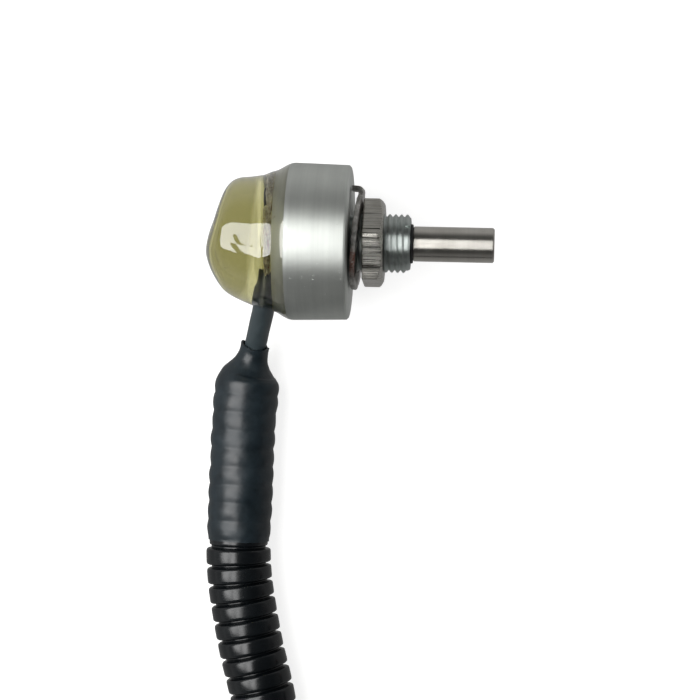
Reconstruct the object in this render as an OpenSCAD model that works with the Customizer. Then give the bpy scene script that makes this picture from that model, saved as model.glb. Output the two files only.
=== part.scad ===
// Rotary position sensor: a turned housing with a threaded bushing, a shaft that
// turns without a stop, a potted rear end and a lead in corrugated conduit.
// The origin is the centre of the housing's front face. +X runs along the shaft
// to its free end, and the sensor lies on its side on the surface z = -body_d / 2.

/* [Housing] */
// Outside diameter of the housing at its rear
body_d = 27; // [24:0.1:32]
// How much slimmer the housing is at its front than at its rear, on the radius
front_slim = 0.25; // [0:0.05:0.3]
// Length from the front face to the rear edge
body_len = 12.2; // [11.6:0.1:15]
// Thickness of the front wall
front_wall = 3.5; // [3:0.1:4]
// Wall of the skirt beside the element board
skirt_wall = 2.9; // [2.6:0.1:3]
// Width of the ledge that the element board seats on
ledge_w = 0.6; // [0.4:0.1:0.7]
// Radius of the rounded rear edge
rear_round = 2.8; // [1:0.1:2.8]
// Chamfer of the front edge
front_chamfer = 0.3; // [0.2:0.1:1]

/* [Bushing, nut and washer] */
// Major diameter of the fine mounting thread
thread_d = 10; // [9:0.5:12]
// Pitch of the thread
thread_pitch = 1; // [0.75:0.25:1]
// Length of the bushing from the front face
bushing_len = 10.4; // [9:0.1:14]
// Bore of the bushing, which takes the front bearing and the seal
bushing_bore_d = 7.5; // [7:0.1:7.6]
// Width and depth of the relief at the root of the bushing
relief = 0.6; // [0.3:0.1:0.6]
// Across flats of the nut
nut_af = 14; // [13:0.5:17]
// Thickness of the nut
nut_t = 3.5; // [2.5:0.1:4]
// Gap between the front face and the nut
nut_gap = 2.4; // [2.4:0.1:3]
// Outside diameter of the lug washer
washer_d = 16.4; // [15:0.1:19]
// Thickness of the lug washer
washer_t = 0.9; // [0.6:0.1:1]
// How far the lug's outer face is from the washer's axis
lug_reach = 9.5; // [9:0.1:11]
// Width of the lug
lug_w = 3; // [2:0.1:4]

/* [Shaft] */
// Diameter of the free end
shaft_d = 6; // [5.6:0.1:6.6]
// Length of the free end
shaft_free = 13.75; // [10:0.05:20]
// Diameter of the journal in the bearings
journal_d = 5; // [4.6:0.1:5.2]

/* [Element and rotor] */
// Diameter of the rotor's disc
rotor_d = 18.6; // [18.4:0.1:18.8]
// Thickness of the element board
board_t = 0.8; // [0.6:0.1:1]
// Mean diameter of the resistance track
track_d = 16.6; // [15.6:0.1:17]
// Mean diameter of the collector ring
collector_d = 12; // [11.4:0.1:12.6]
// Thickness of the rear cover's plate
cover_t = 1.4; // [1:0.1:1.6]
// How far the cover's plate lies inside the rear edge
cover_recess = 1.2; // [0.5:0.1:1.3]

/* [Potting] */
// How far the potting reaches behind the rear edge
potting_len = 12.4; // [11.5:0.1:15]
// Diameter of the potting where its dome begins
potting_d = 23; // [21.5:0.1:23]

/* [Lead] */
// Diameter of the cable's jacket
cable_d = 3.8; // [3.2:0.1:3.8]
// Outside diameter of the conduit
conduit_d = 11.4; // [11.4]
// Outside diameter of the conduit where the sleeve grips it
gripped_d = 10.4; // [10:0.1:10.4]
// Wall of the heat-shrink sleeve
sleeve_wall = 0.4; // [0.3:0.05:0.6]
// Radius of the coil at the middle of its turns
coil_r = 54; // [54]

/* [Connector] */
// Width of the connector's housing
plug_w = 17; // [15:0.5:20]
// Length of the connector's housing
plug_len = 26; // [22:1:32]
// Distance between the contacts
contact_pitch = 3.4; // [3:0.1:4]

/* [Hidden] */

// Facets of a true round, which carry over as exact curves
round_fn = 96;
// Radial clearance of a running fit and of a seated piece
run_fit = 0.03;
seat_fit = 0.02;
// Axial play between pieces that turn against each other
play = 0.1;
eps = 0.5;

body_r = body_d / 2;
front_r = body_r - front_slim;
floor_z = -body_r;
thread_r = thread_d / 2;
// The meshing threads of nut and bushing are drawn at the pitch radius
pitch_r = thread_r - 0.325 * thread_pitch;
thread_chamfer = 0.4;
bore_r = bushing_bore_d / 2;
nut_end = nut_gap + nut_t;

// Shaft and bearings, from the shoulder back
seal_lip = 0.45;
shoulder_x = bushing_len + seal_lip + play;
shaft_end = shoulder_x + shaft_free;
shaft_chamfer = 0.3;
journal_r = journal_d / 2;
seal_len = 1.5;
seal_x = bushing_len - seal_len;
front_bearing_len = 5.6;
front_bearing_x = seal_x - 0.2 - front_bearing_len;
rear_bearing_r = 4.2;
rear_bearing_x = -0.6;
flange_r = 5.4;
flange_t = 0.8;
flange_x = -front_wall - flange_t;
washer_x = flange_x - play;
thrust_t = 0.4;
thrust_r = 4.9;
ring_x = washer_x - thrust_t - play;
ring_t = 0.6;
ring_groove_r = journal_r - 0.4;
hub_x = ring_x - ring_t - 0.5;

// Rotor, element board and rear cover, from the hub back
hub_t = 1.4;
hub_r = 4.4;
web_t = 0.9;
web_x = hub_x - 0.25;
seat_r = journal_r - 0.5;
shaft_rear = hub_x - hub_t - 0.2;
wiper_t = 0.2;
finger_w = 0.4;
wiper_x = web_x - web_t;
board_x = shaft_rear - 0.5;
board_r = body_r - skirt_wall - 0.1;
track_t = 0.1;
track_w = 1.2;
cover_rim_w = 1.3;
cover_r = body_r - skirt_wall - 0.1;
cover_face_x = -body_len + cover_recess;
cover_x = cover_face_x + cover_t;
pin_r = 0.45;
pin_clear = 0.05;
pin_stub = 0.7;
pin_end = -body_len - pin_stub;
pin_places = [[1.2, 4.6], [4.2, 4.6], [7, 3.8]];

// Potting: a film over the rounded edge, each point an angle on it and a height
// above it, then a blunt dome
film = [[9, -0.05], [14, 0.05], [30, 0.08], [45, 0.15], [60, 0.45]];
potting_r = potting_d / 2;
dome_x = -body_len - 1.4;
dome_len = potting_len - 1.4;
dome_taper = 0.5;
dome_power = 3.8;
dome_bluntness = 0.65;
dome_steps = 24;

// The lead's x is measured from the rear edge. Its conduit rests on the surface, and
// the coil's upper turn on the lower one.
conduit_r = conduit_d / 2;
low = floor_z + conduit_r;
high = low + conduit_d;

// The stripped conductors and the shield, from the terminals to the jacket's end
wire_r = 0.42;
supply_route = [
    [-pin_stub, 1.2, 4.6], [-pin_stub - 0.5, 1.2, 4.6], [-1.4, 0.4, 4.6], [-1.1, -1, 4.7],
    [-0.75, -4.5, 4.9]
];
signal_route = [
    [-pin_stub, 4.2, 4.6], [-pin_stub - 0.6, 4.2, 4.6], [-1.9, 3.4, 4.5], [-2.3, 1.2, 4.4],
    [-2.1, -2, 4.3], [-1.55, -4.5, 4.2]
];
ground_route = [
    [-pin_stub, 7, 3.8], [-pin_stub - 0.5, 7, 3.8], [-1.4, 6, 3.6], [-1.3, 2, 3.4],
    [-1, -2, 3.4], [-0.7, -4.5, 3.5]
];
braid_route = [
    [-0.85, 10.2, 0.5], [-0.85, 9.8, 3], [-0.6, 8.6, 4.8], [-0.55, 6.5, 5.8],
    [-0.55, 4.5, 6.2], [-0.55, 2.2, 6.3], [-0.55, -0.4, 6.2], [-0.65, -3, 6.1],
    [-0.75, -5, 5.7]
];
braid_rings = [
    [0.4, 0.3], [0.6, 0.5], [0.7, 0.6], [0.7, 0.6], [0.6, 0.5], [0.5, 0.5], [0.7, 0.6],
    [0.7, 0.5], [0.6, 0.35]
];

// The cable's route from the potting to the conduit
cable_route = [
    [-0.75, -4.2, 4.2], [-1.1, -6.4, 3.6], [-1.65, -8.6, 2.2], [-2.3, -10.8, 0.2],
    [-2.95, -13, 0.27 * low], [-3.55, -15.2, 0.55 * low], [-4.15, -17.4, 0.77 * low],
    [-4.75, -19.6, 0.9 * low], [-5.4, -21.8, 0.96 * low], [-5.8, -23.7, 0.98 * low]
];

// The sleeve's route, and the outside and inside radius at each place on it
sleeve_route = [
    [-4.3, -17.9, 0.81 * low], [-4.6, -18.9, 0.86 * low], [-4.9, -20, 0.91 * low],
    [-5.25, -21.2, 0.95 * low], [-5.6, -22.4, 0.98 * low], [-5.9, -23.8, low],
    [-6.1, -28, low], [-6.3, -34, low], [-6.5, -40, low], [-6.6, -46, low], [-6.7, -52.3, low]
];
sleeve_r = gripped_d / 2 + 0.1 + sleeve_wall;
neck_r = cable_d / 2 + 0.1 + 1.5 * sleeve_wall;
sleeve_rings = [
    neck_r, neck_r, neck_r + 0.3, 3.8, 4.8, sleeve_r - 0.1, sleeve_r, sleeve_r,
    sleeve_r, sleeve_r, sleeve_r
];
sleeve_bore = [
    cable_d / 2 + 0.1, cable_d / 2 + 0.1, cable_d / 2 + 0.1, cable_d / 2 + 0.9,
    gripped_d / 2 - 1.1, gripped_d / 2 + 0.05, gripped_d / 2 + 0.1, gripped_d / 2 + 0.1,
    gripped_d / 2 + 0.1, gripped_d / 2 + 0.1, gripped_d / 2 + 0.1
];

// The conduit's route from the sleeve to the coil, and from the coil to the connector
conduit_route = [
    [-6, -24.4, low], [-6.2, -31, low], [-6.4, -38, low], [-6.6, -45, low],
    [-6.7, -52.4, low], [-6.7, -52.5, low], [-6.6, -56, low], [-6.2, -60, low],
    [-5.5, -64, low], [-4.7, -68, low], [-3.8, -72, low], [-2.7, -76, low],
    [-1.4, -81.5, low], [0.1, -91.8, low], [-0.2, -101.4, low], [-2.3, -110, low],
    [-6, -118, low]
];
gripped_rings = 5;
tail_route = [
    [93, -159, high], [94.5, -154, high], [95.7, -149, high], [96.6, -144, high],
    [97.1, -139, high - 0.1], [97.4, -134, high - 0.5], [97.5, -129, high - 1.2],
    [97.5, -124, high - 2.2], [97.5, -119, high - 3.6], [97.5, -114, low + 5.5],
    [97.4, -109, low + 3.8], [97.3, -104, low + 2.5], [97.2, -99, low + 1.7],
    [97.2, -94, low + 1.5], [97.2, -88.1, low + 1.5]
];
coil_centre = [40.8, -145];
coil_from = 90;
coil_sweep = 255;
coil_web = 5;
tie_w = 4.6;
tie_t = 0.9;
tie_y = coil_centre[1] - coil_r;

// Connector: it lies on the same surface, along +Y
plug_at = [97.2, -92, low + 1.5];
boot_len = 12;
boot_r = plug_at[2] - floor_z;
boot_grip = 4;
plug_h = 2 * boot_r;
nose_len = 7;
nose_h = 8.6;
contact_r = 0.8;

// Points, faces and placing

function unit(v) = v / norm(v);
function heading(path, i) = unit(path[min(i + 1, len(path) - 1)] - path[max(i - 1, 0)]);
function across(path, i, ref) = unit(cross(heading(path, i), ref));
function ring_point(path, i, ref, a, b, turn) =
    path[i]
    + a * cos(turn) * across(path, i, ref)
    + b * sin(turn) * cross(across(path, i, ref), heading(path, i));

// A solid swept along path: radii holds one [across, up] pair for each of its points
module swept(path, radii, sides, ref = [0, 0, 1]) {
    last = len(path) - 1;
    points = [
        for (i = [0 : last], k = [0 : sides - 1])
            ring_point(path, i, ref, radii[i][0], radii[i][1], 360 * k / sides)
    ];
    walls = [
        for (i = [0 : last - 1], k = [0 : sides - 1])
            let (n = (k + 1) % sides)
            [i * sides + k, i * sides + n, (i + 1) * sides + n, (i + 1) * sides + k]
    ];
    front = [for (k = [sides - 1 : -1 : 0]) k];
    back = [for (k = [0 : sides - 1]) last * sides + k];
    polyhedron(points = points, faces = concat([front], walls, [back]), convexity = 4);
}

// Measures x from the rear edge
module behind() {
    translate([-body_len, 0, 0])
        children();
}

function even(r, n) = [for (i = [0 : n - 1]) [r, r]];

// Turns a shape drawn along +Z so that it runs along +X, with its own X pointing down
module along_x() rotate([0, 90, 0]) children();

// A solid of revolution about the shaft's axis, drawn as (radius, x)
module turned() along_x() rotate_extrude($fn = round_fn) children();

// A ring about the shaft's axis
module ring(inner, outer, from, to) {
    turned()
        translate([inner, from])
            square([outer - inner, to - from]);
}

// A plain hole or rod parallel to the shaft at [y, z]
module rod_at(place, r, from, to) {
    translate([from, place[0], place[1]])
        along_x()
            cylinder(r = r, h = to - from, $fn = 32);
}

// A rectangle with round corners, centred
module rounded(w, h, r) {
    square([w - 2 * r, h], center = true);
    square([w, h - 2 * r], center = true);
    for (x = [-1, 1], y = [-1, 1])
        translate([x * (w / 2 - r), y * (h / 2 - r)])
            circle(r = r, $fn = 32);
}

// Housing and shaft

module housing_outline() {
    // Front and middle, with the chamfered front edge
    polygon([
        [0, -body_len + rear_round], [body_r, -body_len + rear_round],
        [front_r, -front_chamfer], [front_r - front_chamfer, 0], [0, 0]
    ]);
    // Rounded rear edge
    translate([0, -body_len])
        square([body_r - rear_round, rear_round + 0.1]);
    translate([body_r - rear_round, -body_len + rear_round])
        circle(r = rear_round, $fn = round_fn);
    // Bushing: relief, thread, the stretch inside the nut, thread and chamfer
    polygon([
        [0, -0.1], [thread_r - relief, -0.1], [thread_r - relief, relief],
        [thread_r, relief], [thread_r, nut_gap - seat_fit],
        [pitch_r, nut_gap - seat_fit], [pitch_r, nut_end + seat_fit],
        [thread_r, nut_end + seat_fit], [thread_r, bushing_len - thread_chamfer],
        [thread_r - thread_chamfer, bushing_len], [0, bushing_len]
    ]);
}

module housing_hollow() {
    // Bore for the front bearing and the seal, then the rear bearing's seat
    translate([0, rear_bearing_x])
        square([bore_r, bushing_len - rear_bearing_x + eps]);
    translate([0, -front_wall - 0.1])
        square([rear_bearing_r, rear_bearing_x + front_wall + 0.2]);
    // Rotor's space, and the wider seat of the board and the cover
    translate([0, board_x])
        square([body_r - skirt_wall - ledge_w, -board_x - front_wall]);
    translate([0, -body_len - eps])
        square([body_r - skirt_wall, board_x + body_len + eps]);
}

module housing() {
    color("silver")
        turned()
            difference() {
                intersection() {
                    housing_outline();
                    translate([0, -body_len])
                        square([body_r + 1, body_len + bushing_len]);
                }
                housing_hollow();
            }
}

module shaft() {
    color("lightgray")
        turned()
            polygon([
                [0, shaft_rear], [seat_r, shaft_rear], [seat_r, hub_x],
                [journal_r, hub_x], [journal_r, ring_x - ring_t],
                [ring_groove_r, ring_x - ring_t], [ring_groove_r, ring_x],
                [journal_r, ring_x], [journal_r, shoulder_x], [shaft_d / 2, shoulder_x],
                [shaft_d / 2, shaft_end - shaft_chamfer],
                [shaft_d / 2 - shaft_chamfer, shaft_end], [0, shaft_end]
            ]);
}

// A seal pressed in the bushing's mouth, with a lip that stands out of it
module shaft_seal() {
    lip_r = shaft_d / 2 + 0.35;
    color([0.05, 0.05, 0.05])
        turned()
            polygon([
                [journal_r + run_fit, seal_x], [bore_r - seat_fit, seal_x],
                [bore_r - seat_fit, bushing_len - 0.2], [lip_r, bushing_len - 0.1],
                [lip_r, bushing_len + seal_lip], [journal_r + run_fit, bushing_len + seal_lip]
            ]);
}

module front_bearing() {
    color("darkgoldenrod")
        ring(journal_r + run_fit, bore_r - seat_fit, front_bearing_x,
             front_bearing_x + front_bearing_len);
}

module rear_bearing() {
    color("darkgoldenrod") {
        turned()
            polygon([
                [journal_r + run_fit, flange_x], [flange_r, flange_x],
                [flange_r, -front_wall], [rear_bearing_r - seat_fit, -front_wall],
                [rear_bearing_r - seat_fit, rear_bearing_x],
                [journal_r + run_fit, rear_bearing_x]
            ]);
    }
}

module thrust_washer() {
    color("ivory")
        ring(journal_r + run_fit, thrust_r, washer_x - thrust_t, washer_x);
}

// An open ring in the shaft's groove
module retaining_ring() {
    color("dimgray")
        difference() {
            ring(ring_groove_r + seat_fit, journal_r + 1.6, ring_x - ring_t + seat_fit,
                 ring_x - seat_fit);
            translate([ring_x - ring_t - eps, -1.5, -journal_r - 3])
                cube([ring_t + 2 * eps, 3, journal_r + 3]);
        }
}

// Rotor and element

module rotor_hub() {
    color([0.12, 0.12, 0.13])
        turned()
            polygon([
                [seat_r + seat_fit, hub_x - hub_t], [hub_r, hub_x - hub_t],
                [hub_r, web_x - web_t], [rotor_d / 2, web_x - web_t],
                [rotor_d / 2, web_x], [hub_r, web_x], [hub_r, hub_x],
                [seat_r + seat_fit, hub_x]
            ]);
}

// One springy finger of the wiper: a strip that leans from the plate to a track
module finger(r) {
    root_x = wiper_x - wiper_t;
    tip_x = board_x + track_t + play;
    translate([0, 0, r - finger_w / 2])
        linear_extrude(height = finger_w)
            polygon([
                [root_x + 0.05, -1.6], [root_x + 0.05, -0.9], [tip_x, 2.2], [tip_x, 1.6]
            ]);
}

module wiper() {
    color("khaki") {
        // Plate on the rotor's disc
        translate([wiper_x - wiper_t, -2, collector_d / 2 - 1])
            cube([wiper_t, 1.6, (track_d - collector_d) / 2 + 1.5]);
        for (mean = [collector_d, track_d], side = [-0.35, 0.35])
            finger(mean / 2 + side);
    }
}

module element_board() {
    color("white")
        difference() {
            ring(journal_r + 0.4, board_r, board_x - board_t, board_x);
            for (p = pin_places)
                rod_at(p, pin_r + pin_clear, board_x - board_t - eps, board_x + eps);
        }
}

// A printed arc that leaves a dead gap opposite the terminals
module resistance_track() {
    color([0.1, 0.1, 0.1])
        translate([board_x, 0, 0])
            along_x()
                rotate([0, 0, 15])
                    rotate_extrude(angle = 330, $fn = round_fn)
                        translate([(track_d - track_w) / 2, 0])
                            square([track_w, track_t]);
}

module collector_ring() {
    color("gold")
        ring((collector_d - track_w) / 2, (collector_d + track_w) / 2, board_x,
             board_x + track_t);
}

module terminal_pins() {
    color("gold")
        for (p = pin_places)
            rod_at(p, pin_r, pin_end, board_x - 0.1);
}

// A moulded cup: a plate that closes the housing, and a rim that clamps the board
module rear_cover() {
    color([0.15, 0.13, 0.1])
        difference() {
            union() {
                ring(0, cover_r, cover_face_x, cover_x);
                ring(cover_r - cover_rim_w, cover_r, cover_x - 0.1, board_x - board_t);
            }
            for (p = pin_places)
                rod_at(p, pin_r + pin_clear, -body_len - eps, cover_x + eps);
        }
}

// Potting and the stripped end of the cable

function film_point(p) = [
    body_r - rear_round + (rear_round + p[1]) * cos(p[0]),
    -body_len + rear_round - (rear_round + p[1]) * sin(p[0])
];
// The steps shorten towards the nose
function dome_share(i) = 1 - pow(1 - i / dome_steps, 1.8);
function dome_r(t) =
    (potting_r - dome_taper * t) * pow(1 - pow(t, dome_power), dome_bluntness);

module dome_outline() {
    polygon(concat(
        [[0, -body_len + 1]],
        [for (p = film) film_point(p)],
        [
            [potting_r + 0.55, -body_len - 0.85],
            [potting_r + 0.2, -body_len - 1.25]
        ],
        [
            for (i = [0 : dome_steps])
                let (t = dome_share(i))
                [dome_r(t), dome_x - dome_len * t]
        ]
    ));
}

// The housing as the resin finds it: solid, but for the recess behind the cover
module cast_mould() {
    difference() {
        housing_outline();
        translate([0, -body_len - eps])
            square([body_r - skirt_wall - seat_fit, cover_recess + eps]);
    }
}

module potting_dome() {
    color([0.8, 0.7, 0.25, 0.6])
        turned()
            difference() {
                dome_outline();
                cast_mould();
            }
}

module wire_supply() {
    color("firebrick")
        behind()
            swept(supply_route, even(wire_r, len(supply_route)), 8);
}

module wire_signal() {
    color("whitesmoke")
        behind()
            swept(signal_route, even(wire_r, len(signal_route)), 8);
}

module wire_ground() {
    color([0.1, 0.1, 0.1])
        behind()
            swept(ground_route, even(wire_r, len(ground_route)), 8);
}

module shield_braid() {
    color("gray")
        behind()
            swept(braid_route, braid_rings, 10);
}

// Washer and nut

// The washer hangs loose on the bushing and leans between the face and the nut
module lug_washer() {
    edge = washer_t / 2;
    color([0.55, 0.5, 0.45])
        translate([nut_gap / 2 + 0.12, 0.15, 0])
            rotate([0, -1.6, -3.4])
                difference() {
                    union() {
                        ring(0, washer_d / 2, -edge, edge);
                        translate([0, 0, -lug_w / 2])
                            linear_extrude(height = lug_w)
                                lug_outline(edge);
                    }
                    ring(0, thread_r + 0.3, -washer_t, washer_t);
                }
}

// The arm of the lug and the tab that is bent back towards the housing
module lug_outline(edge) {
    tab = 1.6;
    polygon([
        [-edge, thread_r + 1], [edge, thread_r + 1], [edge, lug_reach - 0.5],
        [edge - 0.15, lug_reach - 0.15], [edge - 0.5, lug_reach], [-tab, lug_reach],
        [-tab, lug_reach - washer_t], [-edge, lug_reach - washer_t]
    ]);
}

// The nut is chamfered on its outer face only
module hex_nut() {
    corner_r = nut_af / 2 / cos(30);
    flat_r = nut_af / 2 - 0.35;
    slope = (corner_r + 0.1 - flat_r) * tan(30);
    edge = 0.2;
    color([0.7, 0.68, 0.63])
        difference() {
            intersection() {
                translate([nut_gap, 0, 0])
                    along_x()
                        rotate([0, 0, -7.5])
                            cylinder(r = corner_r, h = nut_t, $fn = 6);
                turned()
                    polygon([
                        [0, nut_gap], [corner_r + 0.1 - 2 * edge, nut_gap],
                        [corner_r + 0.1, nut_gap + edge],
                        [corner_r + 0.1, nut_end - slope], [flat_r, nut_end], [0, nut_end]
                    ]);
            }
            ring(0, pitch_r + seat_fit, nut_gap - eps, nut_end + eps);
        }
}

// Lead

module cable_jacket() {
    color([0.2, 0.24, 0.27])
        behind()
            swept(cable_route, even(cable_d / 2, len(cable_route)), 8);
}

module heat_shrink() {
    last = len(sleeve_route) - 1;
    mouth = sleeve_route[0] - heading(sleeve_route, 0);
    tail = sleeve_route[last] + heading(sleeve_route, last);
    between = [1 : last - 1];
    bore = concat([mouth], [for (i = between) sleeve_route[i]], [tail]);
    bore_rings = concat(
        [sleeve_bore[0]], [for (i = between) sleeve_bore[i]], [sleeve_bore[last]]
    );
    color([0.08, 0.08, 0.09])
        behind()
            difference() {
                swept(sleeve_route, [for (r = sleeve_rings) [r, r]], 24);
                swept(bore, [for (r = bore_rings) [r, r]], 24);
            }
}

module conduit() {
    rings = [
        for (i = [0 : len(conduit_route) - 1])
            let (r = i < gripped_rings ? gripped_d / 2 : conduit_r)
            [r, r]
    ];
    color([0.07, 0.07, 0.07])
        behind()
            swept(conduit_route, rings, 12);
}

// The end of the conduit, from the upper turn down to the connector
module conduit_tail() {
    color([0.07, 0.07, 0.07])
        behind()
            swept(tail_route, even(conduit_r, len(tail_route)), 12);
}

// Two turns on each other: the lower is whole, the upper ends where the tail leaves
module conduit_coil() {
    color([0.07, 0.07, 0.07])
        behind()
            translate([coil_centre[0], coil_centre[1], low]) {
                rotate_extrude($fn = round_fn)
                    translate([coil_r, 0])
                        circle(r = conduit_r, $fn = 48);
                rotate([0, 0, coil_from])
                    rotate_extrude(angle = coil_sweep, $fn = round_fn) {
                        translate([coil_r, conduit_d])
                            circle(r = conduit_r, $fn = 48);
                        translate([coil_r - coil_web / 2, 0])
                            square([coil_web, conduit_d]);
                    }
            }
}

// A cable tie round both turns, with its head on top
module coil_tie() {
    w = conduit_d + 2 * tie_t;
    h = 2 * conduit_d + tie_t;
    color([0.9, 0.9, 0.88])
        behind()
            translate([coil_centre[0], tie_y, floor_z + h / 2]) {
                rotate([90, 0, 90])
                    linear_extrude(height = tie_w, center = true)
                        difference() {
                            rounded(w, h, conduit_r + tie_t - 0.5);
                            rounded(w - 2 * tie_t, h - 2 * tie_t, conduit_r - 0.5);
                        }
                translate([-tie_w / 2 - 0.5, -3, h / 2 - 0.4])
                    cube([tie_w + 1, 6, 3.4]);
            }
}

// Connector, drawn about its own axis with its rear end at y = 0

module at_plug() {
    behind()
        translate(plug_at)
            children();
}

module along_y() rotate([-90, 0, 0]) children();

module connector_boot() {
    color([0.12, 0.12, 0.12])
        at_plug()
            along_y()
                rotate_extrude($fn = round_fn)
                    polygon([
                        [0, boot_grip], [conduit_r + seat_fit, boot_grip],
                        [conduit_r + seat_fit, 0], [boot_r - 0.5, 0],
                        [boot_r, 0.5], [boot_r, boot_len], [0, boot_len]
                    ]);
}

module connector_body() {
    nose_y = boot_len + plug_len - nose_len;
    color([0.1, 0.1, 0.11])
        at_plug()
            difference() {
                union() {
                    translate([0, boot_len, 0])
                        along_y()
                            linear_extrude(height = plug_len - nose_len)
                                rounded(plug_w, plug_h, 3);
                    translate([0, nose_y - 0.1, 0])
                        along_y()
                            linear_extrude(height = nose_len + 0.1)
                                rounded(plug_w - 4, nose_h, 2);
                    // Latch
                    translate([-3, boot_len + 3, plug_h / 2 - 0.2])
                        rotate([90, 0, 90])
                            linear_extrude(height = 6)
                                polygon([[0, 0], [9, 0], [9, 1], [7.6, 2], [0, 1]]);
                }
                for (i = [-1 : 1])
                    translate([i * contact_pitch, nose_y - 5, 0])
                        along_y()
                            cylinder(r = contact_r + 0.35, h = nose_len + 6, $fn = 32);
            }
}

module connector_seal() {
    color("chocolate")
        at_plug()
            translate([0, boot_len + plug_len - nose_len, 0])
                along_y()
                    linear_extrude(height = 2.4)
                        difference() {
                            rounded(plug_w - 1.6, nose_h + 2.4, 3);
                            rounded(plug_w - 4 + 2 * seat_fit, nose_h + 2 * seat_fit, 2);
                        }
}

module connector_contacts() {
    color("gold")
        at_plug()
            for (i = [-1 : 1])
                translate([i * contact_pitch, boot_len + plug_len - nose_len - 5, 0])
                    along_y()
                        difference() {
                            cylinder(r = contact_r + 0.33, h = nose_len + 4.4, $fn = 32);
                            translate([0, 0, 4])
                                cylinder(r = contact_r, h = nose_len + 4.4, $fn = 32);
                        }
}

housing();
shaft();
shaft_seal();
front_bearing();
rear_bearing();
thrust_washer();
retaining_ring();
rotor_hub();
wiper();
element_board();
resistance_track();
collector_ring();
terminal_pins();
rear_cover();
wire_supply();
wire_signal();
wire_ground();
shield_braid();
potting_dome();
lug_washer();
hex_nut();
cable_jacket();
heat_shrink();
conduit();
conduit_coil();
conduit_tail();
coil_tie();
connector_boot();
connector_body();
connector_seal();
connector_contacts();
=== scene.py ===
"""Looks of a rotary position sensor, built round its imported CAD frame.

The frame's origin is the centre of the housing's front face. +X runs along the shaft to its
free end, +Z is up, and the sensor lies on its side with its lead running off along -Y.
Sizes are in millimetres and are scaled to metres where they meet a mesh.
"""

import logging
import math
from dataclasses import dataclass, field
from enum import Enum
from typing import Callable, Iterable, Sequence

import bmesh
import bpy
from mathutils import Matrix, Quaternion, Vector, noise


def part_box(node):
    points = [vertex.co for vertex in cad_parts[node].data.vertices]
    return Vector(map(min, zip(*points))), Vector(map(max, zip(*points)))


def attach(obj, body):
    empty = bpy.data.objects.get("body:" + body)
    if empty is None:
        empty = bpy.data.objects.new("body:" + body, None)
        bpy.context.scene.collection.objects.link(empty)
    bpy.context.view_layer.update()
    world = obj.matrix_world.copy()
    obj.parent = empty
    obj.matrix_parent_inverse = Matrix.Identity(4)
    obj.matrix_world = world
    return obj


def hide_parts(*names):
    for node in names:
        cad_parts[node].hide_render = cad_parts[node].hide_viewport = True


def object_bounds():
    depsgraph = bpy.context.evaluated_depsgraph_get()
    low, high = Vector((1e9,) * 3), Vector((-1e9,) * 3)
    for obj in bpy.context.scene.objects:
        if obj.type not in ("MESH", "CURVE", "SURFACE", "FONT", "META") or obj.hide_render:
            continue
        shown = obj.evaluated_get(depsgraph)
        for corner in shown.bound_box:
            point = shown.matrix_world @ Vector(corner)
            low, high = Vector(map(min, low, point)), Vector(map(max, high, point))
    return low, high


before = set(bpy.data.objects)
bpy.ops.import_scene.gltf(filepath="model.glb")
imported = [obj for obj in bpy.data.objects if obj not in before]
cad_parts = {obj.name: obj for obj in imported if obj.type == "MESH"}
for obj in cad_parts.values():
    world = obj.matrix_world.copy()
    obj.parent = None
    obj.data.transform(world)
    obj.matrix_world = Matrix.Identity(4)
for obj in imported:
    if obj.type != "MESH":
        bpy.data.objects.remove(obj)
CAD_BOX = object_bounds()
LOG = logging.getLogger("sensor")

MM = 0.001
TURN = 2 * math.pi
X_AXIS = Vector((1, 0, 0))
Y_AXIS = Vector((0, 1, 0))
Z_AXIS = Vector((0, 0, 1))

Place = tuple[float, float, float]
Profile = list[tuple[float, float]]
Span = tuple[float, float]
Inputs = dict[str | int, object]
Socket = bpy.types.NodeSocket
Tree = bpy.types.NodeTree

# The values that a noise mostly lies between
NOISE_SPAN: Span = (0.3, 0.7)


class Body(Enum):
    """The two bodies that the joint turns against each other."""

    STATOR = "stator"
    ROTOR = "rotor"


# ---------------------------------------------------------------- measures


def box_mm(node: str) -> tuple[Vector, Vector]:
    """Gives a CAD node's box in millimetres.

    Args:
        node: The CAD node's name.

    Returns:
        Its lowest and its highest corner.
    """
    low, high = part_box(node)
    return low / MM, high / MM


def smooth_step(value: float) -> float:
    """Eases a share from 0 to 1, and holds it there outside that range."""
    share = min(max(value, 0.0), 1.0)
    return share * share * (3 - 2 * share)


def arc(centre: tuple[float, float], radius: float, start: float, end: float, steps: int) -> Profile:
    """Lays points on an arc of a profile.

    Args:
        centre: The arc's centre, as (x, r).
        radius: Its radius.
        start: The first point's angle from the x direction, in degrees.
        end: The last point's angle, in degrees.
        steps: How many straight steps the arc takes.

    Returns:
        The points, as (x, r).
    """
    points = []
    for i in range(steps + 1):
        angle = math.radians(start + (end - start) * i / steps)
        points.append((centre[0] + radius * math.cos(angle), centre[1] + radius * math.sin(angle)))
    return points


# ---------------------------------------------------------------- materials


def linear(code: str) -> tuple[float, float, float, float]:
    """Turns an sRGB hex colour to the linear colour that a shader takes.

    Args:
        code: The colour, such as "#8a8f90".

    Returns:
        Linear red, green and blue, and an alpha of 1.
    """
    channels = [int(code[i : i + 2], 16) / 255 for i in (1, 3, 5)]
    red, green, blue = (c / 12.92 if c <= 0.04045 else ((c + 0.055) / 1.055) ** 2.4 for c in channels)
    return red, green, blue, 1.0


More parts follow.
